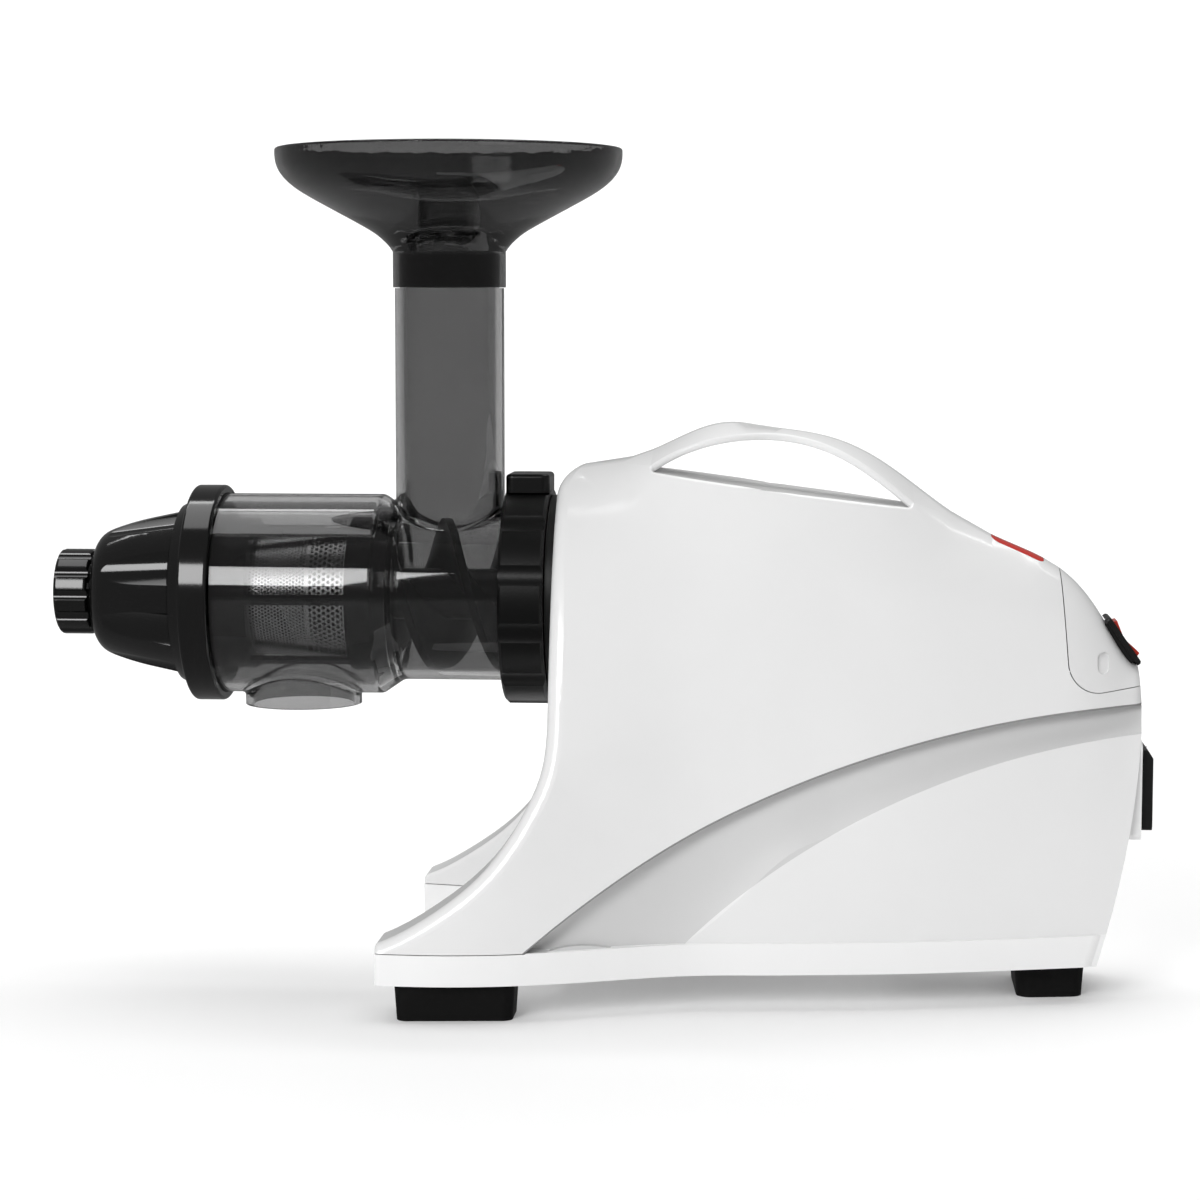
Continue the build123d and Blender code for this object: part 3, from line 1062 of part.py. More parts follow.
def gearbox_bolts():
    """Bolts that join the two halves of the gear case."""
    places = case_bolt_places(CASE_SPLIT_X + 6.0)
    return [screw(place, TO_FRONT, CASE_BOLT_R, 15.0, CASE_BOLT_R * 1.8, 2.4) for place in places]


def motor_bolts():
    """Bolts that hold the motor to the gear case."""
    return [screw(place, TO_FRONT, MOTOR_BOLT_R, SHIELD_T + 5.5, 3.0, 2.0) for place in motor_bolt_places()]


def involute(angle):
    """Involute function of a pressure angle."""
    return tan(angle) - angle


def gear_face(module, teeth, bore):
    """Outline of an involute spur gear with backlash."""
    pitch = module * teeth / 2
    base = pitch * cos(radians(PRESSURE_ANGLE))
    root, tip = pitch - module, pitch + 0.8 * module
    thick = pi / (2 * teeth) - BACKLASH / (2 * pitch) + involute(radians(PRESSURE_ANGLE))
    radii = [max(root, base), pitch, tip]
    flank = [(r, thick - involute(acos(base / r))) for r in radii]
    if base > root:
        flank.insert(0, (root, flank[0][1]))
    points = []
    for tooth in range(teeth):
        middle = 2 * pi * tooth / teeth
        sides = [(r, middle - half) for r, half in flank]
        sides += [(r, middle + half) for r, half in reversed(flank)]
        points += [(r * cos(a), r * sin(a)) for r, a in sides]
    face = make_face(Polyline(points, close=True))
    return face - Circle(bore)


def spur_gear(x_a, x_b, height, module, teeth, bore, phase):
    """Spur gear on a level shaft; phase turns a tooth away from the top."""
    face = Plane.YZ.offset(min(x_a, x_b)) * (Rot(0, 0, 90 + phase) * gear_face(module, teeth, bore))
    return Pos(0, 0, height) * extrude(face, abs(x_b - x_a))


def bearing(x, length, bore, outer, height):
    """Ball bearing with a groove between its two races on both faces."""
    inner_edge, outer_edge = bore + (outer - bore) * 0.32, outer - (outer - bore) * 0.28
    far = x + length
    return turned([(x, bore), (x, inner_edge), (x + 0.6, inner_edge), (x + 0.6, outer_edge), (x, outer_edge),
                   (x, outer), (far, outer), (far, outer_edge), (far - 0.6, outer_edge),
                   (far - 0.6, inner_edge), (far, inner_edge), (far, bore)], height)


def output_shaft():
    """Output shaft with the drive head that takes the auger's hexagon."""
    shaft = turned([(DRIVE_HEAD_X, 0), (DRIVE_HEAD_X, DRIVE_HEAD_R), (DRIVE_HEAD_END, DRIVE_HEAD_R),
                    (DRIVE_HEAD_END, OUT_SHAFT_R), (OUT_GEAR_X, OUT_SHAFT_R), (OUT_GEAR_X, OUT_TAIL_R),
                    (OUT_REAR_X + OUT_REAR_L + 1, OUT_TAIL_R), (OUT_REAR_X + OUT_REAR_L + 1, 0)])
    hexagon = RegularPolygon(DRIVE_HEX / 2, 6, major_radius=False)
    pocket = extrude(Plane.YZ.offset(DRIVE_HEAD_X - 1) * hexagon, DRIVE_POCKET + 1)
    return shaft - Pos(0, 0, AXIS_Z) * pocket


def web_cut(gear, x_a, x_b, hub, rim, height):
    """Thin the web of a gear on both faces between its hub and its rim."""
    return gear - tube(x_a - 1, x_a + 1.6, rim, hub, height) - tube(x_b + 1, x_b - 1.6, rim, hub, height)


def output_gear():
    """Large gear of the slow stage."""
    gear = spur_gear(OUT_GEAR_X, OUT_GEAR_END, AXIS_Z, SLOW_MODULE, FINAL_TEETH, OUT_TAIL_R,
                     180 / FINAL_TEETH)
    return web_cut(gear, OUT_GEAR_X, OUT_GEAR_END, 14.0, 28.0, AXIS_Z)


def lay_pinion():
    """Small gear of the slow stage."""
    return spur_gear(OUT_GEAR_X, OUT_GEAR_END + 1, LAY_Z, SLOW_MODULE, PINION_TEETH, LAY_SHAFT_R, 0)


def lay_wheel():
    """Large gear of the fast stage."""
    gear = spur_gear(LAY_WHEEL_X, LAY_WHEEL_END, LAY_Z, FAST_MODULE, WHEEL_TEETH, LAY_SHAFT_R, 0)
    return web_cut(gear, LAY_WHEEL_X, LAY_WHEEL_END, 11.0, 25.0, LAY_Z)


def lay_shaft():
    """Shaft of the middle gears."""
    return tube(LAY_FRONT_X + 0.5, LAY_REAR_X + LAY_BEARING_L, LAY_SHAFT_R, height=LAY_Z)


def motor_pinion():
    """Small gear on the motor shaft."""
    return spur_gear(LAY_WHEEL_X - 0.5, LAY_WHEEL_END + 1, MOTOR_Z, FAST_MODULE, PINION_TEETH, PINION_BORE,
                     180 / PINION_TEETH)


def motor_shaft():
    """Motor shaft, turned down for the pinion."""
    shoulder = LAY_WHEEL_END + 1
    end_x = FAN_X + FAN_L + 2
    return turned([(LAY_WHEEL_X - 0.5, 0), (LAY_WHEEL_X - 0.5, PINION_BORE), (shoulder, PINION_BORE),
                   (shoulder, MOTOR_SHAFT_R), (end_x, MOTOR_SHAFT_R), (end_x, 0)], MOTOR_Z)


def motor_rotor():
    """Rotor of the motor, with its end rings."""
    return turned([(STATOR_X, MOTOR_SHAFT_R), (STATOR_X, ROTOR_R), (STATOR_X + STATOR_L, ROTOR_R),
                   (STATOR_X + STATOR_L, MOTOR_SHAFT_R)], MOTOR_Z)


def motor_stator():
    """Laminated stator stack with its slots towards the rotor."""
    stack = tube(STATOR_X, STATOR_X + STATOR_L, MOTOR_R, ROTOR_R + ROTOR_GAP, MOTOR_Z)
    slot = tube(STATOR_X - 1, STATOR_X + STATOR_L + 1, 2.6, height=0)
    return stack - around(Pos(0, 0, MOTOR_Z + 25.5) * slot, STATOR_SLOTS, 0, MOTOR_Z)


def stator_coils():
    """Copper end turns in front of and behind the stator."""
    coils = []
    for x_a, x_b in ((STATOR_X - COIL_L, STATOR_X), (STATOR_X + STATOR_L, STATOR_X + STATOR_L + COIL_L)):
        ring = tube(x_a, x_b, COIL_R, ROTOR_R + 1.6, MOTOR_Z)
        coils.append(chamfer(ring.edges().filter_by(GeomType.CIRCLE), 2.0))
    return coils


def motor_shield(face_x, end_x):
    """Cast end shield of the motor: cup, bearing seat and shaft hole."""
    step = 1 if end_x > face_x else -1
    seat = face_x + step * SHIELD_SEAT
    rim = tube(face_x, end_x, MOTOR_R, MOTOR_R - 3.0, MOTOR_Z)
    face = tube(face_x, face_x + step * SHIELD_T, MOTOR_R, 0, MOTOR_Z)
    cup = fuse([rim, face, tube(face_x, seat, MOTOR_BEARING_R + 2.5, 0, MOTOR_Z)])
    cup -= tube(seat - step * MOTOR_BEARING_L, seat + step, MOTOR_BEARING_R, 0, MOTOR_Z)
    return cup - tube(face_x - step, seat, MOTOR_SHAFT_R + 1, 0, MOTOR_Z)


def front_shield():
    """Front end shield with its bolt holes."""
    shield = motor_shield(MOTOR_FRONT_X, STATOR_X)
    hole = Rot(0, 90, 0) * Cylinder(MOTOR_BOLT_R + 0.2, 12)
    return shield - [Pos(*place) * hole for place in motor_bolt_places()]


def rear_shield():
    """Rear end shield."""
    return motor_shield(MOTOR_REAR_X, STATOR_X + STATOR_L)


def motor_fan():
    """Cooling fan behind the motor."""
    hub = tube(FAN_X, FAN_X + FAN_L, FAN_HUB_R, MOTOR_SHAFT_R, MOTOR_Z)
    disc = tube(FAN_X, FAN_X + 2, FAN_R, MOTOR_SHAFT_R, MOTOR_Z)
    blade_z = MOTOR_Z + (FAN_HUB_R + FAN_R) / 2 - 1
    blade = Pos(FAN_X + FAN_L / 2, 0, blade_z) * Box(FAN_L, 1.6, FAN_R - FAN_HUB_R)
    return fuse([hub, disc, *around(blade, FAN_BLADES, 0, MOTOR_Z)])


def run_capacitor():
    """Run capacitor above the motor."""
    can = tube(CAPACITOR_X, CAPACITOR_X + CAPACITOR_L, CAPACITOR_R, height=CAPACITOR_Z)
    can = chamfer(can.edges().filter_by(GeomType.CIRCLE), 1.5)
    tabs = [Pos(CAPACITOR_X + CAPACITOR_L + 3, y, CAPACITOR_Z) * Box(7, 0.8, 6) for y in (-6, 6)]
    return fuse([can, *tabs])


def capacitor_clip():
    """Strap that holds the capacitor on top of the motor."""
    middle = CAPACITOR_X + CAPACITOR_L / 2
    strap = tube(middle - 7, middle + 7, CAPACITOR_R + 1.6, CAPACITOR_R, CAPACITOR_Z)
    low, high = MOTOR_Z + MOTOR_R, CAPACITOR_Z - CAPACITOR_R - 0.5
    post = Pos(middle, 0, (low + high) / 2) * Box(14, 10, high - low)
    saddle = tube(middle - 7, middle + 7, MOTOR_R + 2, MOTOR_R, MOTOR_Z)
    saddle &= Pos(middle, 0, MOTOR_Z + MOTOR_R) * Box(30, 34, 24)
    return fuse([strap, post, saddle])


def lay_bearing(x):
    """Bearing at one end of the middle shaft."""
    return bearing(x, LAY_BEARING_L, LAY_SHAFT_R + SHAFT_FIT, LAY_BEARING_R, LAY_Z)


def motor_bearing(face_x, step):
    """Bearing in the seat of an end shield."""
    seat = face_x + step * SHIELD_SEAT
    low = min(seat, seat - step * MOTOR_BEARING_L)
    return bearing(low, MOTOR_BEARING_L, MOTOR_SHAFT_R + SHAFT_FIT, MOTOR_BEARING_R, MOTOR_Z)


def head_nodes():
    """Juicing head: everything in front of the housing."""
    return {
        "drum_port": drum_port(), "port_screws": port_screws(), "lock_collar": lock_collar(),
        "juicing_drum": juicing_drum(), "drum_seal": drum_seal(), "juicing_screen": juicing_screen(),
        "screen_frame": screen_frame(), "auger": auger(), "end_cap": end_cap(),
        "adjusting_knob": adjusting_knob(), "hopper": hopper(),
    }


def housing_nodes():
    """Housing mouldings, feet, switch, inlet and their screws."""
    outside = housing_outside()
    wide = cavity(WALL, FOOT_H + FLOOR_T)
    narrow = cavity(WALL + COVE_DEPTH + LIP_STEP + 1.5, FOOT_H + FLOOR_T)
    shell = upper_shell(outside, wide, narrow)
    near_foot = front_foot()
    return {
        "upper_housing": upper_housing(shell), "lower_housing": lower_housing(outside, narrow),
        "rear_cover": rear_cover(shell), "indicator_lens": indicator_lens(shell),
        "foot_front_near": near_foot, "foot_front_far": mirrored(near_foot), "foot_rear": rear_foot(),
        "foot_screws": foot_screws(), "housing_screws": housing_screws(),
        "switch_frame": switch_frame(), "switch_rocker": switch_rocker(),
        "inlet_socket": inlet_socket(), "inlet_pins": inlet_pins(), "inlet_screws": inlet_screws(),
    }


def drive_nodes():
    """Motor, two-stage gearbox and run capacitor."""
    return {
        "gearbox_case": gearbox_case(), "gearbox_plate": gearbox_plate(),
        "gearbox_bolts": gearbox_bolts(), "motor_bolts": motor_bolts(),
        "output_shaft": output_shaft(), "output_gear": output_gear(),
        "bearing_output_front": bearing(OUT_BEARING_X, OUT_BEARING_L, OUT_SHAFT_R + SHAFT_FIT,
                                        OUT_BEARING_R, AXIS_Z),
        "bearing_output_rear": bearing(OUT_REAR_X, OUT_REAR_L, OUT_TAIL_R + SHAFT_FIT, OUT_REAR_R, AXIS_Z),
        "lay_shaft": lay_shaft(), "lay_pinion": lay_pinion(), "lay_wheel": lay_wheel(),
        "bearing_lay_front": lay_bearing(LAY_FRONT_X), "bearing_lay_rear": lay_bearing(LAY_REAR_X),
        "motor_shaft": motor_shaft(), "motor_pinion": motor_pinion(), "motor_rotor": motor_rotor(),
        "motor_stator": motor_stator(), "stator_coils": stator_coils(),
        "motor_front_shield": front_shield(), "motor_rear_shield": rear_shield(),
        "bearing_motor_front": motor_bearing(MOTOR_FRONT_X, 1),
        "bearing_motor_rear": motor_bearing(MOTOR_REAR_X, -1),
        "motor_fan": motor_fan(), "run_capacitor": run_capacitor(), "capacitor_clip": capacitor_clip(),
    }


def one_shape(piece):
    """A single shape to export; identical pieces become one group."""
    return Compound(children=piece) if isinstance(piece, list) else piece


if __name__ == "__main__":
    os.makedirs("parts", exist_ok=True)
    for name, piece in {**head_nodes(), **housing_nodes(), **drive_nodes()}.items():
        export_step(one_shape(piece), f"parts/{name}.step")
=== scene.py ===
import json
from math import cos, pi, sin, sqrt

import bmesh
import bpy
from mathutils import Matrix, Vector


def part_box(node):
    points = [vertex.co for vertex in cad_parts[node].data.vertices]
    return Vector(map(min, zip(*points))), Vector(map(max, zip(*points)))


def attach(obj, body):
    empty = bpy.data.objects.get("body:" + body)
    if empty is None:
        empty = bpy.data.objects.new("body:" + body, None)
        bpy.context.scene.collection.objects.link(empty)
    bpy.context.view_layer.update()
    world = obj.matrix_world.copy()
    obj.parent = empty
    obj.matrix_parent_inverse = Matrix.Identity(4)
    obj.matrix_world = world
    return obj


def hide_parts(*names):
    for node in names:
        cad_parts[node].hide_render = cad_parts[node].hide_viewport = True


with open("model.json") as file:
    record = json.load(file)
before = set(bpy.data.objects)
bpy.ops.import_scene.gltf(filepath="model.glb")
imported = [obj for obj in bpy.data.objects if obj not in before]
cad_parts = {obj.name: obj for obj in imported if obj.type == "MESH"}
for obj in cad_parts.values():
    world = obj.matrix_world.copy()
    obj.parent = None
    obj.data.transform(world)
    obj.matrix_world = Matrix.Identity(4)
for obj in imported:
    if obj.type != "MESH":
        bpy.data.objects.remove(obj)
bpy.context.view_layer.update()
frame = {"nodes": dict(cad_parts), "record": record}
NODES = frame["nodes"]

# ---- materials: building blocks ----------------------------------------------
EVEN = (1.0, 1.0, 1.0)       # noise that isn't stretched
COAT_ROUGHNESS = 0.05
RAMP_START, RAMP_END = 0.35, 0.65
TINT_DETAIL = 3.0
GLOSS_DETAIL = 4.0
BUMP_DETAIL = 2.0


def grey(value):
    """Neutral colour."""
    return (value, value, value)


def shader_of(material):
    """The material's Principled shader."""
    return material.node_tree.nodes["Principled BSDF"]


def new_material(name, color, roughness, metallic=0.0, coat=0.0, transmission=0.0, ior=1.5,
                 gloss=0.5):
    """Principled material with its constants on the shader's own sockets."""
    material = bpy.data.materials.new(name)
    material.use_nodes = True
    sockets = shader_of(material).inputs
    sockets["Base Color"].default_value = (*color, 1.0)
    sockets["Roughness"].default_value = roughness
    sockets["Metallic"].default_value = metallic
    sockets["Coat Weight"].default_value = coat
    sockets["Coat Roughness"].default_value = COAT_ROUGHNESS
    sockets["Transmission Weight"].default_value = transmission
    sockets["IOR"].default_value = ior
    sockets["Specular IOR Level"].default_value = gloss
    return material


def noise(material, scale, detail, stretch):
    """Noise over the object's own coordinates, stretched along its axes."""
    tree = material.node_tree
    coords = tree.nodes.new("ShaderNodeTexCoord")
    mapping = tree.nodes.new("ShaderNodeMapping")
    mapping.inputs["Scale"].default_value = stretch
    texture = tree.nodes.new("ShaderNodeTexNoise")
    texture.inputs["Scale"].default_value = scale
    texture.inputs["Detail"].default_value = detail
    tree.links.new(coords.outputs["Object"], mapping.inputs["Vector"])
    tree.links.new(mapping.outputs["Vector"], texture.inputs["Vector"])
    return texture.outputs["Fac"]


def tint(material, scale, low, high, stretch=EVEN):
    """Uneven colour between two near tones."""
    tree = material.node_tree
    node = tree.nodes.new("ShaderNodeValToRGB")
    start, end = node.color_ramp.elements
    start.position, end.position = RAMP_START, RAMP_END
    start.color, end.color = (*low, 1.0), (*high, 1.0)
    tree.links.new(noise(material, scale, TINT_DETAIL, stretch), node.inputs["Fac"])
    tree.links.new(node.outputs["Color"], shader_of(material).inputs["Base Color"])


def uneven_gloss(material, scale, low, high, stretch=EVEN):
    """Roughness that drifts a little over the surface."""
    tree = material.node_tree
    spread = tree.nodes.new("ShaderNodeMapRange")
    spread.inputs["To Min"].default_value = low
    spread.inputs["To Max"].default_value = high
    tree.links.new(noise(material, scale, GLOSS_DETAIL, stretch), spread.inputs["Value"])
    tree.links.new(spread.outputs["Result"], shader_of(material).inputs["Roughness"])


def bump(material, scale, strength, distance, stretch=EVEN):
    """Fine relief from noise."""
    tree = material.node_tree
    node = tree.nodes.new("ShaderNodeBump")
    node.inputs["Strength"].default_value = strength
    node.inputs["Distance"].default_value = distance
    tree.links.new(noise(material, scale, BUMP_DETAIL, stretch), node.inputs["Height"])
    tree.links.new(node.outputs["Normal"], shader_of(material).inputs["Normal"])


# ---- materials: the three families -------------------------------------------
TONE_SCALE = 9.0             # drift of tone over a moulding
DRIFT_SCALE = 14.0           # drift of its gloss
SKIN_SCALE = 900.0           # its moulded skin
SKIN_DEPTH = 0.0002
TOOL_TONE_SCALE = 60.0       # tone, gloss and lines of worked metal
TOOL_GLOSS_SCALE = 80.0
TOOL_LINE_SCALE = 400.0
TOOL_LINE_STRENGTH = 0.12
TOOL_LINE_DEPTH = 0.0002
CLEAR_IOR = 1.49             # acrylic
CLEAR_TONE_SCALE = 7.0
CLEAR_DARK_SHARE = 0.94      # darker tone of the drift
FLOW_SCALE = 18.0            # ripples from the plastic's flow
FLOW_STRENGTH = 0.06
FLOW_DEPTH = 0.001


def moulded(name, low, high, roughness, coat, relief, gloss=0.5, metallic=0.0):
    """Moulded surface: near-even tone, drifting gloss and a faint skin."""
    material = new_material(name, high, roughness, metallic=metallic, coat=coat, gloss=gloss)
    tint(material, TONE_SCALE, low, high)
    uneven_gloss(material, DRIFT_SCALE, roughness * 0.85, roughness * 1.2)
    bump(material, SKIN_SCALE, relief, SKIN_DEPTH)
    return material


def machined(name, low, high, roughness, stretch=EVEN):
    """Turned or drawn metal with fine tool lines."""
    material = new_material(name, high, roughness, metallic=1.0)
    tint(material, TOOL_TONE_SCALE, low, high, stretch)
    uneven_gloss(material, TOOL_GLOSS_SCALE, roughness * 0.8, roughness * 1.3, stretch)
    bump(material, TOOL_LINE_SCALE, TOOL_LINE_STRENGTH, TOOL_LINE_DEPTH, stretch)
    return material


def clear(name, color, roughness, transmission, gloss=0.5):
    """Tinted transparent plastic with slight flow ripples."""
    material = new_material(name, color, roughness, transmission=transmission, ior=CLEAR_IOR,
                            gloss=gloss)
    tint(material, CLEAR_TONE_SCALE, tuple(CLEAR_DARK_SHARE * c for c in color), color)
    bump(material, FLOW_SCALE, FLOW_STRENGTH, FLOW_DEPTH)
    return material


# ---- materials: one for each slot of the record ------------------------------
RINGS = (40.0, 1.0, 1.0)     # turned round the X axis
SHEETS = (120.0, 1.0, 1.0)   # stacked laminations
WIRES = (60.0, 4.0, 4.0)     # wound copper
DRAWN = (1.0, 6.0, 6.0)      # drawn can

# Slot: material name, dark tone, light tone, roughness, coat, relief, gloss, metallic.
MOULDED = {
    "white_gloss": ("white_gloss_plastic", grey(0.83), grey(0.86), 0.22, 0.3, 0.03),
    "black_rubber": ("black_rubber", grey(0.003), grey(0.006), 0.62, 0.0, 0.5, 0.15),
    "black_plastic": ("black_satin_plastic", grey(0.006), grey(0.010), 0.35, 0.0, 0.2, 0.3),
    "red_rocker": ("red_rocker_plastic", (0.50, 0.018, 0.006), (0.62, 0.03, 0.01),
                   0.25, 0.5, 0.03),
    "port_black": ("port_plastic", grey(0.006), grey(0.010), 0.38, 0.0, 0.2, 0.3),
    "collar_black": ("collar_plastic", grey(0.001), grey(0.003), 0.28, 0.0, 0.14, 0.3),
    "frame_plastic": ("frame_plastic", grey(0.008), grey(0.014), 0.25, 0.0, 0.05, 0.4),
    "auger_black": ("auger_plastic", grey(0.001), grey(0.003), 0.30, 0.0, 0.1, 0.15),
    "cap_black": ("cap_gloss_plastic", grey(0.001), grey(0.003), 0.10, 0.0, 0.02, 0.55),
    "cast_alloy": ("cast_alloy", (0.36, 0.36, 0.37), (0.45, 0.45, 0.46),
                   0.5, 0.0, 0.6, 0.5, 0.85),
    "fan_plastic": ("fan_plastic", grey(0.03), grey(0.05), 0.45, 0.0, 0.2),
}

# Slot: material name, dark tone, light tone, roughness, stretch of the tool lines.
MACHINED = {
    "screw_steel": ("zinc_steel", (0.50, 0.50, 0.51), (0.66, 0.66, 0.68), 0.32),
    "contact_brass": ("contact_brass", (0.62, 0.44, 0.20), (0.80, 0.60, 0.30), 0.28),
    "screen_steel": ("screen_steel", grey(0.86), grey(0.94), 0.24),
    "gear_steel": ("gear_steel", (0.42, 0.42, 0.44), (0.58, 0.58, 0.60), 0.30, RINGS),
    "rotor_steel": ("rotor_steel", (0.35, 0.35, 0.37), (0.52, 0.52, 0.54), 0.35, RINGS),
    "lamination": ("lamination", (0.22, 0.23, 0.26), (0.36, 0.37, 0.40), 0.45, SHEETS),
    "winding": ("winding_copper", (0.42, 0.15, 0.05), (0.62, 0.26, 0.09), 0.33, WIRES),
    "bearing_steel": ("bearing_steel", (0.60, 0.60, 0.62), (0.75, 0.75, 0.77), 0.18, RINGS),
    "capacitor_can": ("capacitor_can", (0.58, 0.58, 0.59), (0.72, 0.72, 0.73), 0.30, DRAWN),
    "strap_steel": ("strap_steel", grey(0.50), grey(0.62), 0.35),
}

# Slot: material name, tint, roughness, transmission, gloss.
CLEAR = {
    "red_lens": ("red_lens_plastic", (0.80, 0.03, 0.015), 0.12, 0.3),
    "smoked_clear": ("smoked_plastic", grey(0.30), 0.03, 1.0, 0.45),
    "hopper_smoked": ("hopper_plastic", grey(0.08), 0.03, 1.0, 0.45),
}

MATERIALS = {
    slot: make(*row)
    for make, table in ((moulded, MOULDED), (machined, MACHINED), (clear, CLEAR))
    for slot, row in table.items()
}


def dress(obj, material):
    """Give every material slot of an object one material."""
    if not obj.material_slots:
        obj.data.materials.append(material)
    for entry in obj.material_slots:
        entry.material = material


SLOT_OF = {row["node"]: row["material_slot"] for row in frame["record"]["subparts"]}
for name, node in NODES.items():
    dress(node, MATERIALS[SLOT_OF[name]])


# ---- painted shade on the band, sides and parting line of the housings -------
# Arcs in metres, each through three points in X and Z.
SEAM_ARC = ((-0.022, 0.026), (0.092, 0.0912), (0.205, 0.1125))
COVE_ARC = ((0.036, 0.026), (0.118, 0.0805), (0.205, 0.1018))
BASE_LIP_Z = 0.0262          # top of the base lip
BAND_SHADE_SHARE = 0.78            # painted shade on the scooped band, against the sides
SIDE_SHADE_SHARE = 0.92            # painted shade on the sides, against the lighter base lip
SEAM_SHADOW_W = 0.0007              # width of the painted shadow along the parting line
SEAM_SHADOW_SHARE = 0.3             # tone of that painted shadow against the upper housing
# Painted light: whiter than white_gloss, so the base lip is lighter than the same white plastic
# above it.
LIT_LIP_TONES = (grey(0.91), grey(0.94))
BANDED_ROUGHNESS = 0.45
BANDED_RELIEF = 0.03


def math_node(material, operation, first, second):
    """One math node; each operand is a socket or a number."""
    tree = material.node_tree
    node = tree.nodes.new("ShaderNodeMath")
    node.operation = operation
    for slot, value in zip(node.inputs, (first, second)):
        if isinstance(value, float):
            slot.default_value = value
        else:
            tree.links.new(value, slot)
    return node.outputs["Value"]


def object_axes(material):
    """The object's own X, Y and Z as sockets."""
    tree = material.node_tree
    coords = tree.nodes.new("ShaderNodeTexCoord")
    split = tree.nodes.new("ShaderNodeSeparateXYZ")
    tree.links.new(coords.outputs["Object"], split.inputs["Vector"])
    return split.outputs["X"], split.outputs["Y"], split.outputs["Z"]


def circle_through(a, b, c):
    """Centre and radius of the circle through three points."""
    (ax, az), (bx, bz), (cx, cz) = a, b, c
    d = 2 * (ax * (bz - cz) + bx * (cz - az) + cx * (az - bz))
    a2, b2, c2 = ax**2 + az**2, bx**2 + bz**2, cx**2 + cz**2
    ox = (a2 * (bz - cz) + b2 * (cz - az) + c2 * (az - bz)) / d
    oz = (a2 * (cx - bx) + b2 * (ax - cx) + c2 * (bx - ax)) / d
    return ox, oz, sqrt((ax - ox) ** 2 + (az - oz) ** 2)


def inside_arc(material, points):
    """Mask that is one below the arc through three points in X and Z."""
    ox, oz, radius = circle_through(*points)
    x, _, z = object_axes(material)
    dx = math_node(material, "SUBTRACT", x, ox)
    dz = math_node(material, "SUBTRACT", z, oz)
    squares = [math_node(material, "MULTIPLY", d, d) for d in (dx, dz)]
    reach = math_node(material, "ADD", *squares)
    return math_node(material, "LESS_THAN", reach, radius**2)


def color_socket(sockets, name):
    """The colour socket among the sockets of one name."""
    return next(entry for entry in sockets if entry.name == name and entry.type == "RGBA")


def shade_by(material, mask, share):
    """Multiply the base colour by a share where a mask is one."""
    tree = material.node_tree
    target = shader_of(material).inputs["Base Color"]
    mix = tree.nodes.new("ShaderNodeMix")
    mix.data_type = "RGBA"
    mix.blend_type = "MULTIPLY"
    color_socket(mix.inputs, "B").default_value = (*grey(share), 1.0)
    tree.links.new(target.links[0].from_socket, color_socket(mix.inputs, "A"))
    tree.links.new(mask, mix.inputs["Factor"])
    tree.links.new(color_socket(mix.outputs, "Result"), target)


def painted_shade_housing():
    """White satin plastic with painted light: a lighter base lip, painted shade on the sides and
    more on the scooped band.
    """
    material = moulded("white_plastic_painted_shade", *LIT_LIP_TONES, BANDED_ROUGHNESS, 0.0, BANDED_RELIEF)
    under_seam = inside_arc(material, SEAM_ARC)
    under_cove = inside_arc(material, COVE_ARC)
    over_cove = math_node(material, "SUBTRACT", 1.0, under_cove)
    shaded_band = math_node(material, "MULTIPLY", under_seam, over_cove)
    above_lip = math_node(material, "GREATER_THAN", object_axes(material)[2], BASE_LIP_Z)
    # Painted shade: darkens the scooped band between the seam and the cove.
    shade_by(material, math_node(material, "MULTIPLY", shaded_band, above_lip), BAND_SHADE_SHARE)
    # Painted shade: darkens the sides above the base lip, leaving the lip lighter.
    shade_by(material, above_lip, SIDE_SHADE_SHARE)
    return material


def seam_shadow_housing():
    """White gloss plastic with a painted shadow line along its lower edge, at the parting line."""
    material = moulded("white_plastic_seam_shadow", *MOULDED["white_gloss"][1:])
    shadow_line = inside_arc(material, [(x, z + SEAM_SHADOW_W) for x, z in SEAM_ARC])
    # Painted shadow: darkens a thin strip along the parting line.
    shade_by(material, shadow_line, SEAM_SHADOW_SHARE)
    return material


dress(NODES["lower_housing"], painted_shade_housing())
dress(NODES["upper_housing"], seam_shadow_housing())


# ---- perforated screen -------------------------------------------------------
SCREEN_T = 0.0008            # sheet
HOLE_SHARE = 0.62            # size of a hole against its cell
COARSE_SHARE = 0.40          # share of the length that has coarse holes
COARSE_HOLES = 76            # holes in one ring
FINE_HOLES = 112
LATTICE_DROP = 0.0015        # the lattice is pitched this far inside the rear radius
END_MARGIN = 0.0004          # the lattice stops this short of the screen's ends
RING_L = 0.0016              # plain rings at the ends and between the two lattices
REAR_RING_SHARE = 1.6        # the rear ring is this much longer
RING_PROUD = 0.0001
RING_STEPS = 72
# Corners of a cell, in half columns round the screen and half sides along it.
HEXAGON = ((1, 1), (0, 2), (-1, 1), (-1, -1), (0, -2), (1, -1))

screen_low, screen_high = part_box("juicing_screen")
SCREEN_FRONT_X, SCREEN_REAR_X = screen_low[0], screen_high[0]
SCREEN_AXIS_Z = (screen_low[2] + screen_high[2]) / 2
SCREEN_REAR_R = (screen_high[2] - screen_low[2]) / 2
SCREEN_SLOPE = 3.3 / 41.5    # loss of radius over the screen's length, as in the CAD


def on_cone(turn, x, depth):
    """Point on the screen's cone at a share of a turn, sunk by a depth."""
    radius = SCREEN_REAR_R - (SCREEN_REAR_X - x) * SCREEN_SLOPE - depth
    return (x, radius * sin(2 * pi * turn), SCREEN_AXIS_Z + radius * cos(2 * pi * turn))


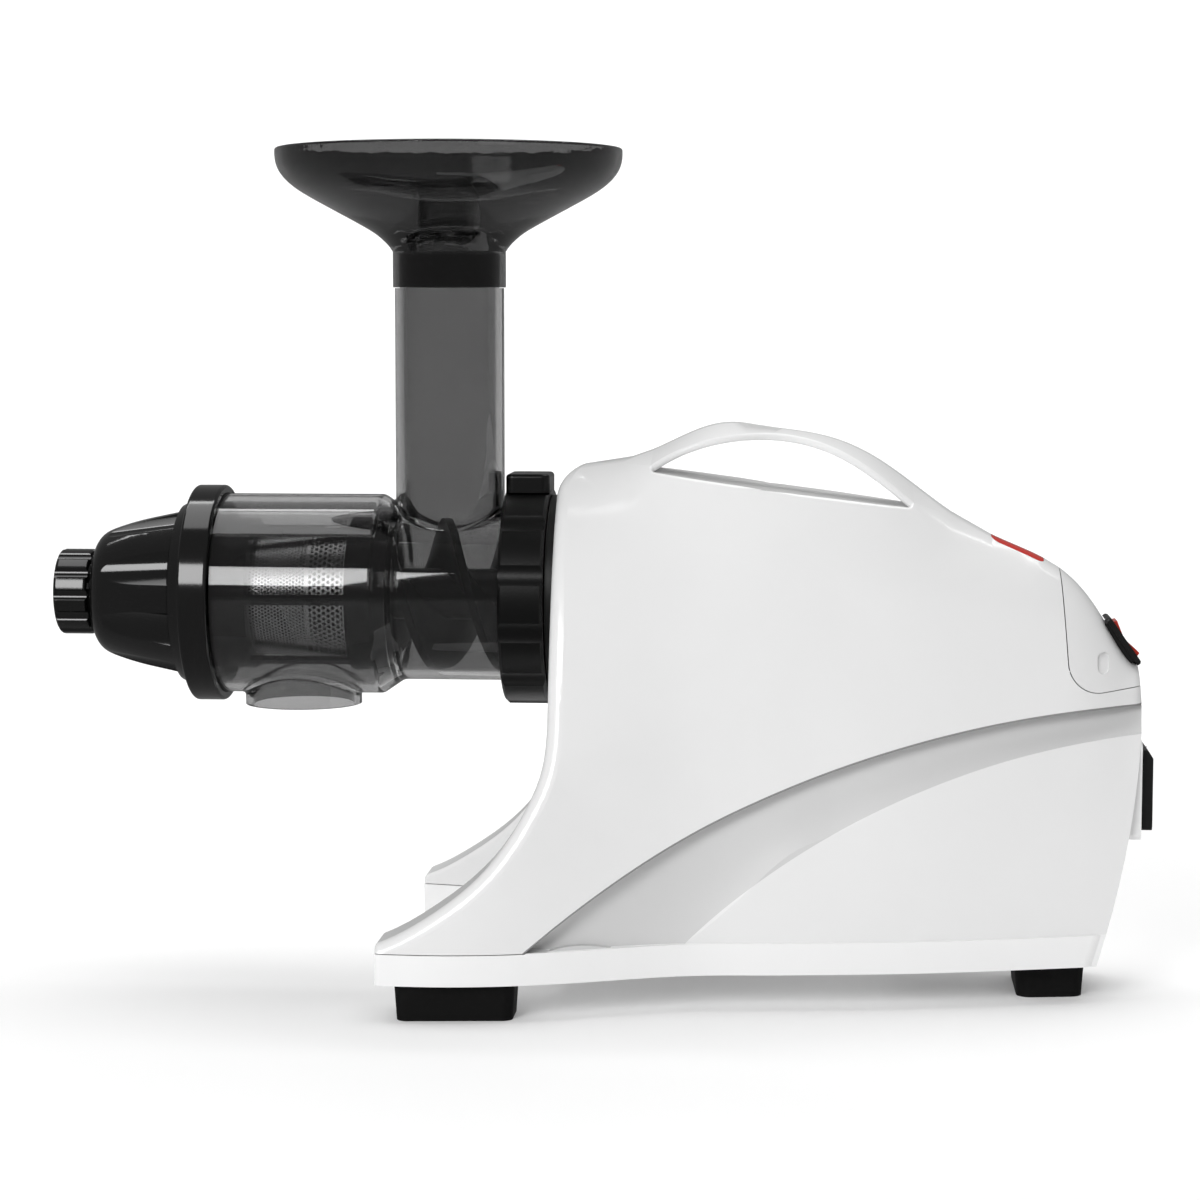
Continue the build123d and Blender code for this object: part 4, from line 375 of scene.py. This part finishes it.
def perforate(bm, x_a, x_b, count):
    """Hexagonal lattice of six-sided holes between two stations."""
    pitch = 2 * pi * (SCREEN_REAR_R - LATTICE_DROP) / count
    side = pitch / sqrt(3)
    rows = int((x_b - x_a) / (1.5 * side))
    shared = {}

    def corner(key, turn, x, depth):
        """Vertex that neighbouring cells share."""
        if key not in shared:
            shared[key] = bm.verts.new(on_cone(turn, x, depth))
        return shared[key]

    for row in range(rows):
        x = x_a + side + row * 1.5 * side
        for column in range(count):
            middle = 2 * column + row % 2
            skins = []
            for layer, depth in enumerate((0.0, SCREEN_T)):
                rim, hole = [], []
                for step_u, step_v in HEXAGON:
                    key = (layer, (middle + step_u) % (2 * count), 3 * row + step_v)
                    turn = (middle + step_u) / (2 * count)
                    rim.append(corner(key, turn, x + step_v * side / 2, depth))
                    turn = (middle + HOLE_SHARE * step_u) / (2 * count)
                    place = on_cone(turn, x + HOLE_SHARE * step_v * side / 2, depth)
                    hole.append(bm.verts.new(place))
                skins.append(hole)
                for k in range(6):
                    bm.faces.new((rim[k], rim[k - 1], hole[k - 1], hole[k]))
            outer, inner = skins
            for k in range(6):
                bm.faces.new((outer[k], outer[k - 1], inner[k - 1], inner[k]))


def plain_ring(bm, x_a, x_b):
    """Unperforated band of the screen, a hair thicker than the sheet."""
    outside, inside = -RING_PROUD, SCREEN_T + RING_PROUD
    loops = []
    for x, depth in ((x_a, outside), (x_b, outside), (x_b, inside), (x_a, inside)):
        loops.append([bm.verts.new(on_cone(i / RING_STEPS, x, depth)) for i in range(RING_STEPS)])
    for a, b in zip(loops, loops[1:] + loops[:1]):
        for i in range(RING_STEPS):
            bm.faces.new((a[i - 1], a[i], b[i], b[i - 1]))


def build_screen():
    """Sieve sheet with fine holes at the front and coarse ones at the rear."""
    bm = bmesh.new()
    split_x = SCREEN_REAR_X - COARSE_SHARE * (SCREEN_REAR_X - SCREEN_FRONT_X)
    perforate(bm, SCREEN_FRONT_X + END_MARGIN, split_x, FINE_HOLES)
    perforate(bm, split_x, SCREEN_REAR_X - END_MARGIN, COARSE_HOLES)
    plain_ring(bm, SCREEN_FRONT_X + RING_PROUD, SCREEN_FRONT_X + RING_L)
    plain_ring(bm, split_x - RING_L / 2, split_x + RING_L / 2)
    plain_ring(bm, SCREEN_REAR_X - REAR_RING_SHARE * RING_L, SCREEN_REAR_X - RING_PROUD)
    bmesh.ops.recalc_face_normals(bm, faces=bm.faces)
    mesh = bpy.data.meshes.new("screen_sheet")
    bm.to_mesh(mesh)
    bm.free()
    sheet = bpy.data.objects.new("screen_sheet", mesh)
    bpy.context.collection.objects.link(sheet)
    mesh.materials.append(MATERIALS["screen_steel"])
    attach(sheet, "housing")
    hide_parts("juicing_screen")


build_screen()


# ---- stage -------------------------------------------------------------------
FLOOR_REACH = 9.0            # the floor ends this far to the sides and in front
SWEEP_Y = 2.2                # the backdrop curves up from here
SWEEP_R = 1.2
SWEEP_STEPS = 12
WALL_TOP = 6.0
TABLE_GLOW = 0.10
TABLE_ROUGHNESS = 0.8
TABLE_GLOSS = 0.1
WHITE = (1.0, 1.0, 1.0, 1.0)
WORLD_STRENGTH = 0.22

# Light: place, target, size in metres, power in watts.
LIGHTS = {
    "window_light": ((-0.85, -1.75, 0.98), (-0.10, 0.0, 0.15), (1.0, 0.74), 23.0),
    "fill_light": ((1.15, -1.55, 0.80), (0.08, 0.0, 0.12), (0.9, 0.9), 1.2),
    "top_light": ((0.0, 0.15, 1.9), (0.0, 0.0, 0.1), (2.0, 1.2), 18.0),
    "wall_light": ((0.0, 1.2, 2.6), (0.0, 3.4, 0.9), (4.0, 1.0), 80.0),
}


def light_table():
    """Matt white surface with a faint glow of its own."""
    material = new_material("light_table", grey(0.9), TABLE_ROUGHNESS, gloss=TABLE_GLOSS)
    sockets = shader_of(material).inputs
    sockets["Emission Color"].default_value = WHITE
    sockets["Emission Strength"].default_value = TABLE_GLOW
    tint(material, 3.0, grey(0.88), grey(0.90))
    bump(material, 250.0, 0.04, 0.0005)
    return material


def stage_floor():
    """Large pale floor that curves up into a backdrop."""
    profile = [(-FLOOR_REACH, 0.0), (SWEEP_Y, 0.0)]
    for i in range(1, SWEEP_STEPS + 1):
        angle = pi / 2 * i / SWEEP_STEPS
        profile.append((SWEEP_Y + SWEEP_R * sin(angle), SWEEP_R * (1 - cos(angle))))
    profile.append((SWEEP_Y + SWEEP_R, WALL_TOP))
    verts = [(x, y, z) for y, z in profile for x in (-FLOOR_REACH, FLOOR_REACH)]
    faces = [(a, a + 1, a + 3, a + 2) for a in range(0, 2 * len(profile) - 2, 2)]
    mesh = bpy.data.meshes.new("studio_floor")
    mesh.from_pydata(verts, [], faces)
    for polygon in mesh.polygons:
        polygon.use_smooth = True
    mesh.materials.append(light_table())
    floor = bpy.data.objects.new("studio_floor", mesh)
    bpy.context.collection.objects.link(floor)
    # Left out of reflections, so black plastic stays black as under studio flags.
    floor.visible_glossy = False


def facing(place, target):
    """Rotation that points a light or camera from its place at a target."""
    return (Vector(target) - Vector(place)).to_track_quat("-Z", "Y").to_euler()


def softbox(name, place, target, size, power):
    """Rectangular soft light that faces a point."""
    lamp = bpy.data.lights.new(name, "AREA")
    lamp.shape = "RECTANGLE"
    lamp.size, lamp.size_y = size
    lamp.energy = power
    light = bpy.data.objects.new(name, lamp)
    light.location = place
    light.rotation_euler = facing(place, target)
    bpy.context.collection.objects.link(light)


stage_floor()
for name, row in LIGHTS.items():
    softbox(name, *row)

world = bpy.data.worlds.new("studio")
world.use_nodes = True
background = world.node_tree.nodes["Background"].inputs
background["Color"].default_value = WHITE
background["Strength"].default_value = WORLD_STRENGTH
scene = bpy.context.scene
scene.world = world
scene.view_settings.view_transform = "Standard"
scene.view_settings.look = "None"

# ---- camera ------------------------------------------------------------------
EYE = (0.0898, -1.1412, 0.2602)
AIM = (0.0, 0.0, 0.150)
SENSOR_MM = 36.0
LENS_MM = 88.46
CLIP_START = 0.05

camera_data = bpy.data.cameras.new("camera")
camera_data.sensor_width = SENSOR_MM
camera_data.lens = LENS_MM
camera_data.clip_start = CLIP_START
camera = bpy.data.objects.new("camera", camera_data)
camera.location = EYE
camera.rotation_euler = facing(EYE, AIM)
bpy.context.collection.objects.link(camera)
bpy.context.scene.camera = camera
